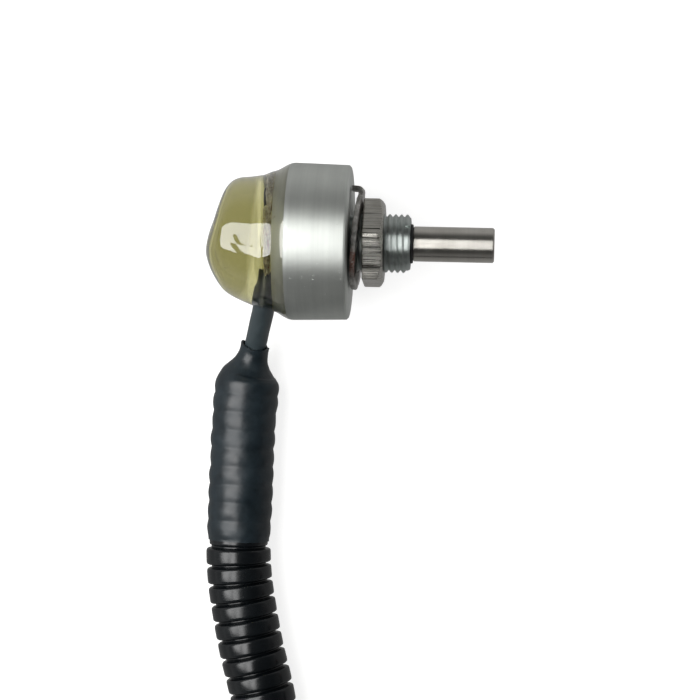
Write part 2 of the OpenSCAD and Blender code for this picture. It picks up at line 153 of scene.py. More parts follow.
def add_node(
    tree: Tree, kind: str, settings: dict[str, object] | None = None, inputs: Inputs | None = None
) -> bpy.types.Node:
    """Adds a node with its settings and its links.

    Args:
        tree: The node tree that takes it.
        kind: The node's type name.
        settings: Attributes of the node.
        inputs: Values for its input sockets, or sockets to link to them.

    Returns:
        The new node.
    """
    node = tree.nodes.new(kind)
    for name, value in (settings or {}).items():
        setattr(node, name, value)
    for name, value in (inputs or {}).items():
        if isinstance(value, Socket):
            tree.links.new(value, node.inputs[name])
        else:
            node.inputs[name].default_value = value
    return node


@dataclass(frozen=True)
class Finish:
    """A material: what it is, its colour and its gloss. Subclasses add the surface's pattern."""

    label: str
    colour: str
    roughness: float
    metallic: float = 0.0

    def build(self) -> bpy.types.Material:
        """Makes the material, or finds the one already made.

        Returns:
            The material.
        """
        found = bpy.data.materials.get(self.label)
        if found is not None:
            return found
        material = bpy.data.materials.new(self.label)
        material.use_nodes = True
        material.diffuse_color = linear(self.colour)
        tree = material.node_tree
        shader = tree.nodes["Principled BSDF"]
        shader.inputs["Base Color"].default_value = linear(self.colour)
        shader.inputs["Roughness"].default_value = self.roughness
        shader.inputs["Metallic"].default_value = self.metallic
        self.pattern(tree, shader)
        return material

    def pattern(self, tree: Tree, shader: bpy.types.Node) -> None:
        """Adds the surface's pattern; each finish has its own."""
        raise NotImplementedError

    def place(self, tree: Tree) -> Socket:
        """Gives the place on the piece, in millimetres.

        Args:
            tree: The material's nodes.

        Returns:
            The place, as a vector.
        """
        place = add_node(tree, "ShaderNodeTexCoord").outputs["Object"]
        scaled = add_node(tree, "ShaderNodeVectorMath", {"operation": "SCALE"}, {0: place, "Scale": 1 / MM})
        return scaled.outputs["Vector"]

    def off_axis(self, tree: Tree, place: Socket) -> Socket:
        """Gives how far a place is from the X axis.

        Args:
            tree: The material's nodes.
            place: The place in millimetres.

        Returns:
            The distance in millimetres.
        """
        flat = add_node(tree, "ShaderNodeVectorMath", {"operation": "MULTIPLY"}, {0: place, 1: (0, 1, 1)})
        length = add_node(tree, "ShaderNodeVectorMath", {"operation": "LENGTH"}, {0: flat.outputs["Vector"]})
        return length.outputs["Value"]

    def away(self, tree: Tree, value: Socket, middle: float) -> Socket:
        """Gives how far a value lies from a middle one, on either side.

        Args:
            tree: The material's nodes.
            value: The value.
            middle: The middle one.

        Returns:
            The distance, which is never negative.
        """
        aside = add_node(tree, "ShaderNodeMath", {"operation": "SUBTRACT"}, {0: value, 1: middle})
        reach = add_node(tree, "ShaderNodeMath", {"operation": "ABSOLUTE"}, {0: aside.outputs["Value"]})
        return reach.outputs["Value"]

    def grain(self, tree: Tree, place: Socket, sizes: Sequence[float], detail: float = 3.0) -> Socket:
        """Makes noise whose grains have a real size.

        Args:
            tree: The material's nodes.
            place: The place in millimetres.
            sizes: A grain's length in millimetres along X, Y and Z.
            detail: How many finer layers it has.

        Returns:
            The noise, which mostly lies from 0.3 to 0.7.
        """
        rates = tuple(1 / size for size in sizes)
        scaled = add_node(tree, "ShaderNodeVectorMath", {"operation": "MULTIPLY"}, {0: place, 1: rates})
        inputs: Inputs = {"Vector": scaled.outputs["Vector"], "Scale": 1.0}
        inputs |= {"Detail": detail, "Roughness": 0.6}
        return add_node(tree, "ShaderNodeTexNoise", {"noise_dimensions": "3D"}, inputs).outputs["Fac"]

    def wash(
        self,
        tree: Tree,
        under: str | Socket,
        over: str,
        where: Socket,
        span: Span = NOISE_SPAN,
        most: float = 1.0,
    ) -> Socket:
        """Washes a second colour over the first where a pattern is strong.

        Args:
            tree: The material's nodes.
            under: The first colour, as a hex code or a socket.
            over: The second colour, as a hex code.
            where: The pattern.
            span: The pattern's values where the wash begins and where it is at its most.
            most: The wash's share at its most.

        Returns:
            The washed colour.
        """
        inputs: Inputs = {"Value": where, "From Min": span[0], "From Max": span[1], "To Max": most}
        share = add_node(tree, "ShaderNodeMapRange", {"clamp": True}, inputs).outputs["Result"]
        first = linear(under) if isinstance(under, str) else under
        inputs = {"Factor": share, 6: first, 7: linear(over)}
        return add_node(tree, "ShaderNodeMix", {"data_type": "RGBA"}, inputs).outputs[2]

    def vary_gloss(self, tree: Tree, shader: bpy.types.Node, where: Socket, less: float, more: float) -> None:
        """Varies the roughness with a noise.

        Args:
            tree: The material's nodes.
            shader: The shader that takes the roughness.
            where: The noise.
            less: How far below the finish's roughness it goes.
            more: How far above.
        """
        inputs: Inputs = {"Value": where, "From Min": NOISE_SPAN[0], "From Max": NOISE_SPAN[1]}
        inputs |= {"To Min": self.roughness - less, "To Max": self.roughness + more}
        varied = add_node(tree, "ShaderNodeMapRange", {"clamp": True}, inputs)
        tree.links.new(varied.outputs["Result"], shader.inputs["Roughness"])

    def relief(
        self, tree: Tree, shader: bpy.types.Node, height: Socket, depth_mm: float, under: Socket | None = None
    ) -> Socket:
        """Puts a height into the shader as bumps.

        Args:
            tree: The material's nodes.
            shader: The shader that takes the bumps.
            height: The height, from 0 to 1.
            depth_mm: How deep the bumps are.
            under: The normal of a bump below this one.

        Returns:
            The bumped normal.
        """
        inputs: Inputs = {"Height": height, "Strength": 1.0, "Distance": depth_mm * MM}
        if under is not None:
            inputs["Normal"] = under
        bump = add_node(tree, "ShaderNodeBump", None, inputs)
        tree.links.new(bump.outputs["Normal"], shader.inputs["Normal"])
        return bump.outputs["Normal"]


@dataclass(frozen=True)
class TurnedMetal(Finish):
    """Metal as the lathe or the grinder leaves it: fine lines round the axis and rings on each face.

    The eye sees a soft highlight that is broken into fine streaks, with a few small dents.
    """

    metallic: float = 1.0
    line_mm: float = 0.16
    line_depth_mm: float = 0.004
    stain: str = "#9a9c92"
    stain_share: float = 0.5
    streak: str = "#55575a"
    streak_share: float = 0.08
    gloss_range: float = 0.12
    stretch: float = 0.95
    dent_mm: float = 0.5
    dent_depth_mm: float = 0.03

    def pattern(self, tree: Tree, shader: bpy.types.Node) -> None:
        """Adds lathe lines, which stretch each highlight across themselves, cloudy stains and small dents.

        Args:
            tree: The material's nodes.
            shader: The shader that takes the pattern.
        """
        around = add_node(tree, "ShaderNodeTangent", {"direction_type": "RADIAL", "axis": "X"})
        tree.links.new(around.outputs["Tangent"], shader.inputs["Tangent"])
        shader.inputs["Anisotropic"].default_value = self.stretch
        shader.inputs["Anisotropic Rotation"].default_value = 0.25
        place = self.place(tree)
        parts = add_node(tree, "ShaderNodeSeparateXYZ", None, {0: place}).outputs
        sides: Inputs = {0: parts["X"], 1: self.off_axis(tree, place)}
        across = add_node(tree, "ShaderNodeMath", {"operation": "ADD"}, sides).outputs["Value"]
        lathe = add_node(tree, "ShaderNodeCombineXYZ", None, {"X": across, "Y": parts["Y"], "Z": parts["Z"]})
        lines = self.grain(tree, lathe.outputs["Vector"], (self.line_mm, 14, 14), 4.0)
        bands = self.grain(tree, lathe.outputs["Vector"], (self.line_mm * 6, 30, 30), 2.0)
        clouds = self.grain(tree, place, (5, 5, 5), 3.0)
        dents = self.grain(tree, place, (self.dent_mm,) * 3, 1.0)
        stained = self.wash(tree, self.colour, self.stain, clouds, most=self.stain_share)
        streaked = self.wash(tree, stained, self.streak, bands, most=self.streak_share)
        tree.links.new(streaked, shader.inputs["Base Color"])
        self.vary_gloss(tree, shader, lines, self.gloss_range / 2, self.gloss_range / 2)
        fine = self.relief(tree, shader, lines, self.line_depth_mm)
        inputs: Inputs = {"Value": dents, "From Min": 0.22, "From Max": 0.27}
        pits = add_node(tree, "ShaderNodeMapRange", {"clamp": True}, inputs)
        self.relief(tree, shader, pits.outputs["Result"], self.dent_depth_mm, fine)


@dataclass(frozen=True)
class DrawnBar(Finish):
    """Plated steel cut from drawn bar: scratches run along the axis, over a worn satin plate."""

    metallic: float = 1.0
    wear: str = "#8f8b82"
    scratch: str = "#3b3934"
    scratch_span: Span = (0.62, 0.68)

    def pattern(self, tree: Tree, shader: bpy.types.Node) -> None:
        """Adds scratches along the axis and cloudy wear.

        Args:
            tree: The material's nodes.
            shader: The shader that takes the pattern.
        """
        place = self.place(tree)
        fine = self.grain(tree, place, (20, 0.12, 0.12), 3.0)
        coarse = self.grain(tree, place, (16, 0.5, 0.5), 3.0)
        clouds = self.grain(tree, place, (2.5, 2.5, 2.5), 3.0)
        worn = self.wash(tree, self.colour, self.wear, clouds, most=0.4)
        scored = self.wash(tree, worn, self.scratch, coarse, self.scratch_span)
        tree.links.new(scored, shader.inputs["Base Color"])
        self.vary_gloss(tree, shader, fine, 0.1, 0.12)
        normal = self.relief(tree, shader, fine, 0.02)
        self.relief(tree, shader, coarse, 0.05, normal)


@dataclass(frozen=True)
class ShearedSheet(Finish):
    """Plated sheet steel with a sheared edge: a dull plate, a torn edge, and rust on one side of it."""

    metallic: float = 1.0
    tarnish: str = "#5e5a54"
    rust: str = "#6b3a26"
    rust_y_mm: float = -3.8
    rust_half_mm: float = 2.6
    rust_fade_mm: float = 1.2
    edge_mm: float = 7.9

    def pattern(self, tree: Tree, shader: bpy.types.Node) -> None:
        """Adds the torn edge's grains and the rust patch on it.

        Args:
            tree: The material's nodes.
            shader: The shader that takes the pattern.
        """
        place = self.place(tree)
        parts = add_node(tree, "ShaderNodeSeparateXYZ", None, {0: place}).outputs
        tears = self.grain(tree, place, (0.5, 0.16, 0.16), 4.0)
        clouds = self.grain(tree, place, (1.6, 1.6, 1.6), 3.0)
        plate = self.wash(tree, self.colour, self.tarnish, clouds, most=0.7)
        inputs: Inputs = {"Value": self.off_axis(tree, place)}
        inputs |= {"From Min": self.edge_mm - 0.1, "From Max": self.edge_mm}
        rim = add_node(tree, "ShaderNodeMapRange", {"clamp": True}, inputs).outputs["Result"]
        inputs = {"Value": self.away(tree, parts["Y"], self.rust_y_mm), "To Min": 1.0, "To Max": 0.0}
        inputs |= {"From Min": self.rust_half_mm - self.rust_fade_mm, "From Max": self.rust_half_mm}
        near = add_node(tree, "ShaderNodeMapRange", {"clamp": True}, inputs).outputs["Result"]
        patch = add_node(tree, "ShaderNodeMath", {"operation": "MULTIPLY"}, {0: near, 1: rim})
        inputs = {"Value": tears, "From Min": NOISE_SPAN[0], "From Max": NOISE_SPAN[1]}
        inputs |= {"To Min": 0.2, "To Max": 1.3}
        blotch = add_node(tree, "ShaderNodeMapRange", {"clamp": True}, inputs)
        settings = {"operation": "MULTIPLY", "use_clamp": True}
        terms: Inputs = {0: patch.outputs["Value"], 1: blotch.outputs["Result"]}
        share = add_node(tree, "ShaderNodeMath", settings, terms).outputs["Value"]
        rusted = self.wash(tree, plate, self.rust, share, (0.0, 1.0))
        tree.links.new(rusted, shader.inputs["Base Color"])
        bare = add_node(tree, "ShaderNodeMath", {"operation": "SUBTRACT"}, {0: 1.0, 1: share})
        tree.links.new(bare.outputs["Value"], shader.inputs["Metallic"])
        self.vary_gloss(tree, shader, clouds, 0.08, 0.2)
        torn = add_node(tree, "ShaderNodeMath", {"operation": "MULTIPLY"}, {0: tears, 1: rim})
        normal = self.relief(tree, shader, torn.outputs["Value"], 0.25)
        self.relief(tree, shader, clouds, 0.02, normal)


@dataclass(frozen=True)
class PottingResin(Finish):
    """Clear amber epoxy, cast by hand: a wet gloss over an olive depth, with dust and bubbles in it."""

    ior: float = 1.53
    skin_ior: float = 1.4
    # Painted light: a pale band at the neck stands for the light that shows through the dome there.
    neck_light_colour: str = "#ffffff"
    neck_x_mm: float = -15.1
    neck_lean: float = 0.07
    neck_span: Span = (1.2, 0.6)
    speck_colour: str = "#2a2414"
    speck_span: Span = (0.055, 0.035)
    specks_per_mm: float = 0.42
    depth_colour: str = "#e0da5c"
    density: float = 62.0
    haze_colour: str = "#d8cf8a"
    haze: float = 8.0

    def pattern(self, tree: Tree, shader: bpy.types.Node) -> None:
        """Adds the resin's depth, its specks, the uneven skin and a painted band of light at the neck.

        Args:
            tree: The material's nodes.
            shader: The shader that takes the pattern.
        """
        for name, value in (
            ("IOR", self.ior),
            ("Transmission Weight", 1.0),
            ("Coat Weight", 1.0),
            ("Coat IOR", self.skin_ior),
            ("Coat Roughness", self.roughness),
        ):
            shader.inputs[name].default_value = value
        place = self.place(tree)
        inputs: Inputs = {"Vector": place, "Scale": self.specks_per_mm, "Randomness": 1.0}
        cells = add_node(tree, "ShaderNodeTexVoronoi", {"feature": "F1"}, inputs).outputs["Distance"]
        # The skin's colour carries the painted band of light at the neck, with the dust specks over it.
        specked = self.wash(tree, self.neck(tree, place), self.speck_colour, cells, self.speck_span)
        tree.links.new(specked, shader.inputs["Base Color"])
        waves = self.grain(tree, place, (4.5, 4.5, 4.5), 1.0)
        self.relief(tree, shader, waves, 0.02)
        inputs = {"Color": linear(self.depth_colour), "Density": self.density}
        absorb = add_node(tree, "ShaderNodeVolumeAbsorption", None, inputs).outputs["Volume"]
        inputs = {"Color": linear(self.haze_colour), "Density": self.haze, "Anisotropy": 0.5}
        scatter = add_node(tree, "ShaderNodeVolumeScatter", None, inputs).outputs["Volume"]
        both = add_node(tree, "ShaderNodeAddShader", None, {0: absorb, 1: scatter})
        tree.links.new(both.outputs["Shader"], tree.nodes["Material Output"].inputs["Volume"])

    def neck(self, tree: Tree, place: Socket) -> Socket:
        """Gives the skin's colour, which is washed paler in a band of painted light where the dome narrows to
        its neck.

        Args:
            tree: The material's nodes.
            place: The place on the piece, in millimetres.

        Returns:
            The colour.
        """
        sides: Inputs = {0: place, 1: (1, -self.neck_lean, 0)}
        along = add_node(tree, "ShaderNodeVectorMath", {"operation": "DOT_PRODUCT"}, sides).outputs["Value"]
        reach = self.away(tree, along, self.neck_x_mm)
        return self.wash(tree, self.colour, self.neck_light_colour, reach, self.neck_span)


@dataclass(frozen=True)
class SoftPlastic(Finish):
    """Extruded or moulded plastic and rubber: an even colour, a fine grain, and dust or bloom in patches."""

    bloom: str = "#4a4d4f"
    bloom_share: float = 0.2
    grain_mm: float = 0.35
    depth_mm: float = 0.01
    patch_mm: float = 6.0

    def pattern(self, tree: Tree, shader: bpy.types.Node) -> None:
        """Adds the fine grain and the bloom.

        Args:
            tree: The material's nodes.
            shader: The shader that takes the pattern.
        """
        place = self.place(tree)
        skin = self.grain(tree, place, (self.grain_mm,) * 3, 3.0)
        patches = self.grain(tree, place, (self.patch_mm,) * 3, 4.0)
        bloomed = self.wash(tree, self.colour, self.bloom, patches, most=self.bloom_share)
        tree.links.new(bloomed, shader.inputs["Base Color"])
        self.vary_gloss(tree, shader, patches, 0.06, 0.08)
        self.relief(tree, shader, skin, self.depth_mm)


@dataclass(frozen=True)
class WovenShield(Finish):
    """Tinned copper with flux and resin between its strands: mottled grey-brown with bright specks."""

    metallic: float = 0.25
    flux: str = "#857c69"
    solder: str = "#f2ead0"
    solder_span: Span = (0.64, 0.7)

    def pattern(self, tree: Tree, shader: bpy.types.Node) -> None:
        """Adds the mottling of flux and the bright solder specks.

        Args:
            tree: The material's nodes.
            shader: The shader that takes the pattern.
        """
        place = self.place(tree)
        mottle = self.grain(tree, place, (0.5, 0.5, 0.5), 4.0)
        flecks = self.grain(tree, place, (0.22, 0.22, 0.22), 2.0)
        fluxed = self.wash(tree, self.colour, self.flux, mottle)
        flecked = self.wash(tree, fluxed, self.solder, flecks, self.solder_span)
        tree.links.new(flecked, shader.inputs["Base Color"])
        self.relief(tree, shader, mottle, 0.06)


# The housing is bright turned aluminium bar: a wide, streaky, cool highlight.
TURNED_ALUMINIUM = TurnedMetal(
    "turned aluminium", "#e4e7e2", 0.62, line_depth_mm=0.0012, stain="#cdd1cd", stain_share=0.35,
    gloss_range=0.05, stretch=0.8,
)  # fmt: skip
# The bushing's thread is of the same bar and was handled: greyer and a little green.
THREADED_ALUMINIUM = TurnedMetal("threaded aluminium", "#d0d6d3", 0.5, line_depth_mm=0.002, stain="#939c98")
# The shaft is hardened and centreless ground: a narrow bright band, with hair lines round it.
GROUND_STEEL = TurnedMetal(
    "ground steel", "#cbc8c1", 0.36, line_mm=0.07, line_depth_mm=0.0012, stain="#a5a199", gloss_range=0.06
)
# The nut is nickel-plated steel, milled from drawn bar: a warm grey with scratches along it.
NICKEL_PLATE = DrawnBar("nickel-plated steel", "#bdbbb4", 0.28)
# The washer is zinc-plated sheet that has begun to rust where it was sheared: dull, with brown on its rim.
ZINC_SHEET = ShearedSheet("zinc-plated sheet steel", "#dedcd8", 0.34)
# The retaining ring is phosphated spring steel: nearly black, with a satin gloss.
SPRING_STEEL = DrawnBar("phosphated spring steel", "#4c4c4e", 0.45)
# The bearings are oil-filled sintered bronze: a brown, soft shine.
SINTERED_BRONZE = TurnedMetal("sintered bronze", "#a9824e", 0.38, stain="#7d6040")
# Pins, contacts and collector are gold-plated brass: a clean yellow shine.
GOLD_PLATE = TurnedMetal(
    "gold-plated brass", "#e0b65a", 0.22, line_mm=0.1, line_depth_mm=0.001, stain="#c79b45"
)
# The wiper is a springy palladium alloy: pale and bright.
PALLADIUM_ALLOY = DrawnBar("palladium wiper alloy", "#cfc7ae", 0.25)
# The shield is tinned copper dulled by flux: mottled, with a few bright specks.
TINNED_COPPER = WovenShield("tinned copper and flux", "#e2dccb", 0.3)
# The potting is clear amber epoxy: the window mirrored on an olive depth, and a painted band of light at its
# neck.
EPOXY = PottingResin("amber potting epoxy", "#c3c1ad", 0.04)
# The conduit is blow-moulded black polyamide: shiny crests in black grooves.
CONDUIT_NYLON = SoftPlastic(
    "blow-moulded nylon", "#06080a", 0.24, bloom="#12181b", bloom_share=0.35, depth_mm=0.006
)
# The sleeve is polyolefin shrunk over the conduit: dull, with a blue-grey bloom.
SHRINK_POLYOLEFIN = SoftPlastic(
    "shrunk polyolefin", "#0c1418", 0.36, bloom="#1c272d", bloom_share=0.7, grain_mm=0.25, depth_mm=0.02,
    patch_mm=3.0,
)  # fmt: skip
# The cable's jacket is soft extruded PVC: a silky blue-grey.
JACKET_PVC = SoftPlastic("extruded PVC", "#2a3235", 0.34, bloom="#3a4447", bloom_share=0.5, patch_mm=4.0)
# The shaft's seal and the plug's boot are nitrile: a deep, dull black.
NITRILE = SoftPlastic("nitrile rubber", "#151515", 0.55)
# The plug's nose seal is silicone: a matt orange-red.
SILICONE = SoftPlastic("silicone rubber", "#a5502c", 0.5, bloom="#b96a44", bloom_share=0.3)
# The rotor's hub is moulded phenolic: a dark brown, half gloss.
MOULDED_PHENOLIC = SoftPlastic("moulded phenolic", "#2b241d", 0.42, bloom="#40362b")
# The rear cover is glass-epoxy board: pale straw, a little mottled.
GLASS_EPOXY = SoftPlastic("glass-epoxy board", "#cfcaa6", 0.45, bloom="#bdb78e", bloom_share=0.4)
# The plug's shell is glass-filled polyamide: a grainy soft black.
MOULDED_POLYAMIDE = SoftPlastic("glass-filled polyamide", "#1c1d1f", 0.48, bloom="#303234", depth_mm=0.02)
# The element's board is alumina: a warm matt white.
CERAMIC_BOARD = SoftPlastic("alumina board", "#d8d0b4", 0.5, bloom="#c7bd9c", bloom_share=0.5)
# The track is conductive ink: an even black with a low gloss.
CARBON_INK = SoftPlastic("conductive ink", "#161616", 0.4, bloom="#262626")
# The thrust washer is PTFE: a waxy white.
PTFE = SoftPlastic("PTFE", "#e6e3dc", 0.45, bloom="#d6d1c6", bloom_share=0.4)
# The cable tie is natural nylon: a milky white.
TIE_NYLON = SoftPlastic("natural nylon", "#d9d6cc", 0.4, bloom="#c9c5b8", bloom_share=0.4)
# The conductors' sleeving is thin PVC in three plain colours.
RED_PVC = SoftPlastic("red wire PVC", "#a02a20", 0.35, bloom="#b5483c")
WHITE_PVC = SoftPlastic("white wire PVC", "#d6d2c4", 0.35, bloom="#bdb8a6")
BLACK_PVC = SoftPlastic("black wire PVC", "#1a1a1a", 0.35)


# ---------------------------------------------------------------- meshes


@dataclass(frozen=True)
class Route:
    """A smooth line through given places, in millimetres, with its length measured along it."""

    points: tuple[Vector, ...]
    distances: tuple[float, ...]

    @classmethod
    def through(cls, places: Iterable[Sequence[float]], finest_mm: float = 0.5) -> "Route":
        """Draws the smooth line.

        Args:
            places: The places, in millimetres.
            finest_mm: About how far apart its points are.

        Returns:
            The route.
        """
        knots = [Vector(place) for place in places]
        knots = [2 * knots[0] - knots[1], *knots, 2 * knots[-1] - knots[-2]]
        points = []
        for before, start, end, after in zip(knots, knots[1:], knots[2:], knots[3:]):
            steps = max(1, round((end - start).length / finest_mm))
            for i in range(steps):
                t = i / steps
                bow = 2 * before - 5 * start + 4 * end - after
                twist = 3 * start - before - 3 * end + after
                points.append(0.5 * (2 * start + (end - before) * t + bow * t * t + twist * t**3))
        points.append(knots[-2])
        distances = [0.0]
        for first, second in zip(points, points[1:]):
            distances.append(distances[-1] + (second - first).length)
        return cls(tuple(points), tuple(distances))

    @property
    def length(self) -> float:
        """The route's whole length, in millimetres."""
        return self.distances[-1]

    def rings(self, radius: float, count: int) -> Profile:
        """Gives evenly spaced rings of one radius, from end to end, as distances and radii."""
        return [(self.length * i / count, radius) for i in range(count + 1)]

    def at(self, distance: float) -> tuple[Vector, Vector]:
        """Finds a place on the route.

        Args:
            distance: How far along it the place is, in millimetres.

        Returns:
            The place and the heading there.
        """
        low, high = 0, len(self.distances) - 2
        while low < high:
            middle = (low + high + 1) // 2
            if self.distances[middle] <= distance:
                low = middle
            else:
                high = middle - 1
        start, end = self.points[low], self.points[low + 1]
        span = self.distances[low + 1] - self.distances[low]
        share = (distance - self.distances[low]) / span
        before = self.points[max(low - 1, 0)]
        after = self.points[min(low + 2, len(self.points) - 1)]
        heading = (end - before).normalized().lerp((after - start).normalized(), min(max(share, 0.0), 1.0))
        return start.lerp(end, share), heading.normalized()

    def frames(self, distances: Sequence[float]) -> list[Matrix]:
        """Finds the places on the route and how a straight shape on the X axis turns there, without a twist.

        Args:
            distances: Distances along it in rising order, in millimetres.

        Returns:
            A matrix for each, in millimetres.
        """
        frames = []
        turn = Quaternion()
        last = X_AXIS
        for distance in distances:
            place, heading = self.at(distance)
            turn = last.rotation_difference(heading) @ turn
            last = heading
            frames.append(Matrix.LocRotScale(place, turn, None))
        return frames


def revolve(bm: bmesh.types.BMesh, profile: Profile, steps: int, closed: bool = True) -> None:
    """Spins a profile about the X axis.

    Args:
        bm: The mesh that takes the turned shape.
        profile: Its points, as (x, r) in millimetres.
        steps: How many steps a full turn has.
        closed: Whether the last point joins the first; an open profile starts and ends on the axis.
    """
    verts = [bm.verts.new((x * MM, 0, r * MM)) for x, r in profile]
    edges = [bm.edges.new(pair) for pair in zip(verts, verts[1:])]
    if closed:
        edges.append(bm.edges.new((verts[-1], verts[0])))
    bmesh.ops.spin(
        bm, geom=[*verts, *edges], cent=(0, 0, 0), axis=X_AXIS, angle=TURN, steps=steps, use_merge=True
    )
    bmesh.ops.remove_doubles(bm, verts=bm.verts[:], dist=1e-7)


def follow(bm: bmesh.types.BMesh, route: Route) -> None:
    """Bends a straight shape on the X axis along a route: its x becomes the distance along it.

    Args:
        bm: The shape.
        route: The route.
    """
    distances = sorted({round(vert.co.x / MM, 3) for vert in bm.verts})
    frames = dict(zip(distances, route.frames(distances)))
    for vert in bm.verts:
        distance = round(vert.co.x / MM, 3)
        across = Vector((vert.co.x / MM - distance, vert.co.y / MM, vert.co.z / MM))
        vert.co = frames[distance] @ across * MM


def tube(route: Route, rings: Sequence[tuple[float, float]], sides: int) -> bmesh.types.BMesh:
    """Makes a closed tube along a route.

    Args:
        route: The route.
        rings: Each ring's distance along the route and its radius, in millimetres.
        sides: How many sides the tube has.

    Returns:
        The tube's mesh.
    """
    bm = bmesh.new()
    revolve(bm, [(rings[0][0], 0.0), *rings, (rings[-1][0], 0.0)], sides, closed=False)
    follow(bm, route)
    return bm


def join(whole: bmesh.types.BMesh, part: bmesh.types.BMesh) -> None:
    """Adds one mesh to another, and uses it up.

    Args:
        whole: The mesh that takes it.
        part: The mesh that is used up.
    """
    mesh = bpy.data.meshes.new("part")
    part.to_mesh(mesh)
    part.free()
    whole.from_mesh(mesh)
    bpy.data.meshes.remove(mesh)


def block(
    bm: bmesh.types.BMesh,
    low: Sequence[float],
    high: Sequence[float],
    round_mm: float = 0.0,
    segments: int = 3,
) -> list[bmesh.types.BMVert]:
    """Adds a block with rounded edges.

    Args:
        bm: The mesh that takes it.
        low: Its lowest corner, in millimetres.
        high: Its highest corner, in millimetres.
        round_mm: The radius of its edges.
        segments: How many steps the rounding has.

    Returns:
        Its vertices.
    """
    corner, other = Vector(low) * MM, Vector(high) * MM
    matrix = Matrix.LocRotScale((corner + other) / 2, Quaternion(), other - corner)
    verts = bmesh.ops.create_cube(bm, size=1.0, matrix=matrix)["verts"]
    if round_mm:
        edges = list({edge for vert in verts for edge in vert.link_edges})
        made = bmesh.ops.bevel(
            bm, geom=edges, offset=round_mm * MM, offset_type="OFFSET", affect="EDGES", segments=segments,
            profile=0.5, material=-1, clamp_overlap=True,
        )  # fmt: skip
        kept = {vert for vert in verts if vert.is_valid}
        verts = list({vert for face in made["faces"] for vert in face.verts} | kept)
    return verts


def draw_outline(bm: bmesh.types.BMesh, places: Iterable[Sequence[float]]) -> list[bmesh.types.BMEdge]:
    """Draws a closed outline through places in millimetres.

    Args:
        bm: The mesh that takes it.
        places: The outline's corners, in order.

    Returns:
        The outline's edges.
    """
    verts = [bm.verts.new(Vector(place) * MM) for place in places]
    return [bm.edges.new(pair) for pair in zip(verts, [*verts[1:], verts[0]])]


def set_radius(vert: bmesh.types.BMVert, radius: float) -> None:
    """Moves a vertex straight out from the X axis, or in, to a radius.

    Args:
        vert: The vertex.
        radius: The radius in millimetres.
    """
    share = radius / (math.hypot(vert.co.y, vert.co.z) / MM)
    vert.co.y *= share
    vert.co.z *= share


def keep_above_floor(bm: bmesh.types.BMesh) -> None:
    """Flattens what dips under the table, where the lead's lumps rest on it.

    Args:
        bm: The mesh to flatten.
    """
    for vert in bm.verts:
        vert.co.z = max(vert.co.z, CAD_BOX[0][2] + 0.01 * MM)


def roughen(
    bm: bmesh.types.BMesh,
    size_mm: float,
    depth_mm: float,
    seed: float,
    share: Callable[[Vector], float] | None = None,
) -> None:
    """Moves a mesh's points in and out by smooth noise.

    Args:
        bm: The mesh.
        size_mm: How wide the noise's lumps are.
        depth_mm: How far the points move at most.
        seed: Which noise it is.
        share: Gives how much of the depth a place takes, or None for all of it.
    """
    bm.normal_update()
    offset = Vector((seed, -seed, 2 * seed))
    for vert in bm.verts:
        depth = depth_mm * MM * (share(vert.co / MM) if share else 1.0)
        vert.co += vert.normal * depth * noise.noise(vert.co / (size_mm * MM) + offset)


def make_piece(
    name: str,
    bm: bmesh.types.BMesh,
    body: Body,
    finishes: Sequence[Finish],
    stands_for: Sequence[str] = (),
    sharp_deg: float = 35.0,
) -> bpy.types.Object:
    """Turns a mesh into a piece of the sensor.

    Args:
        name: The piece's name.
        bm: Its mesh, which is used up.
        body: The body that it rides on.
        finishes: Its materials, in the order of its faces' material numbers.
        stands_for: The CAD nodes that it replaces.
        sharp_deg: Edges that turn by more than this stay sharp.

    Returns:
        The piece.
    """
    bmesh.ops.recalc_face_normals(bm, faces=bm.faces[:])
    mesh = bpy.data.meshes.new(name)
    bm.to_mesh(mesh)
    bm.free()
    for finish in finishes:
        mesh.materials.append(finish.build())
    mesh.shade_smooth()
    mesh.set_sharp_from_angle(angle=math.radians(sharp_deg))
    piece = bpy.data.objects.new(name, mesh)
    bpy.context.scene.collection.objects.link(piece)
    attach(piece, body.value)
    if stands_for:
        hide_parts(*stands_for)
    LOG.info("%s: %d faces", name, len(mesh.polygons))
    return piece


# ---------------------------------------------------------------- camera and light


@dataclass(frozen=True)
class Viewpoint:
    """The camera: it looks straight down on the sensor, whose shaft tips up a little towards it."""

    tip_deg: float = 3.9
    roll_deg: float = 1.4
    distance_mm: float = 343.0
    lens_mm: float = 102.86
    aim_up_mm: float = -18.42
    aim_right_mm: float = -0.02

    def build(self) -> bpy.types.Object:
        """Makes the scene's camera.

        Returns:
            The camera.
        """
        tip, roll = math.radians(self.tip_deg), math.radians(self.roll_deg)
        back = Vector((math.sin(tip), 0, math.cos(tip)))
        level = Vector((math.cos(tip), 0, -math.sin(tip)))
        up = math.cos(roll) * Y_AXIS - math.sin(roll) * level
        right = math.cos(roll) * level + math.sin(roll) * Y_AXIS
        place = (self.distance_mm * back + self.aim_up_mm * up + self.aim_right_mm * right) * MM
        lens = bpy.data.cameras.new("camera")
        lens.lens = self.lens_mm
        lens.clip_start = 0.01
        camera = bpy.data.objects.new("camera", lens)
        turned = Matrix((right, up, back)).transposed().to_4x4()
        camera.matrix_world = Matrix.Translation(place) @ turned
        bpy.context.scene.collection.objects.link(camera)
        bpy.context.scene.camera = camera
        return camera


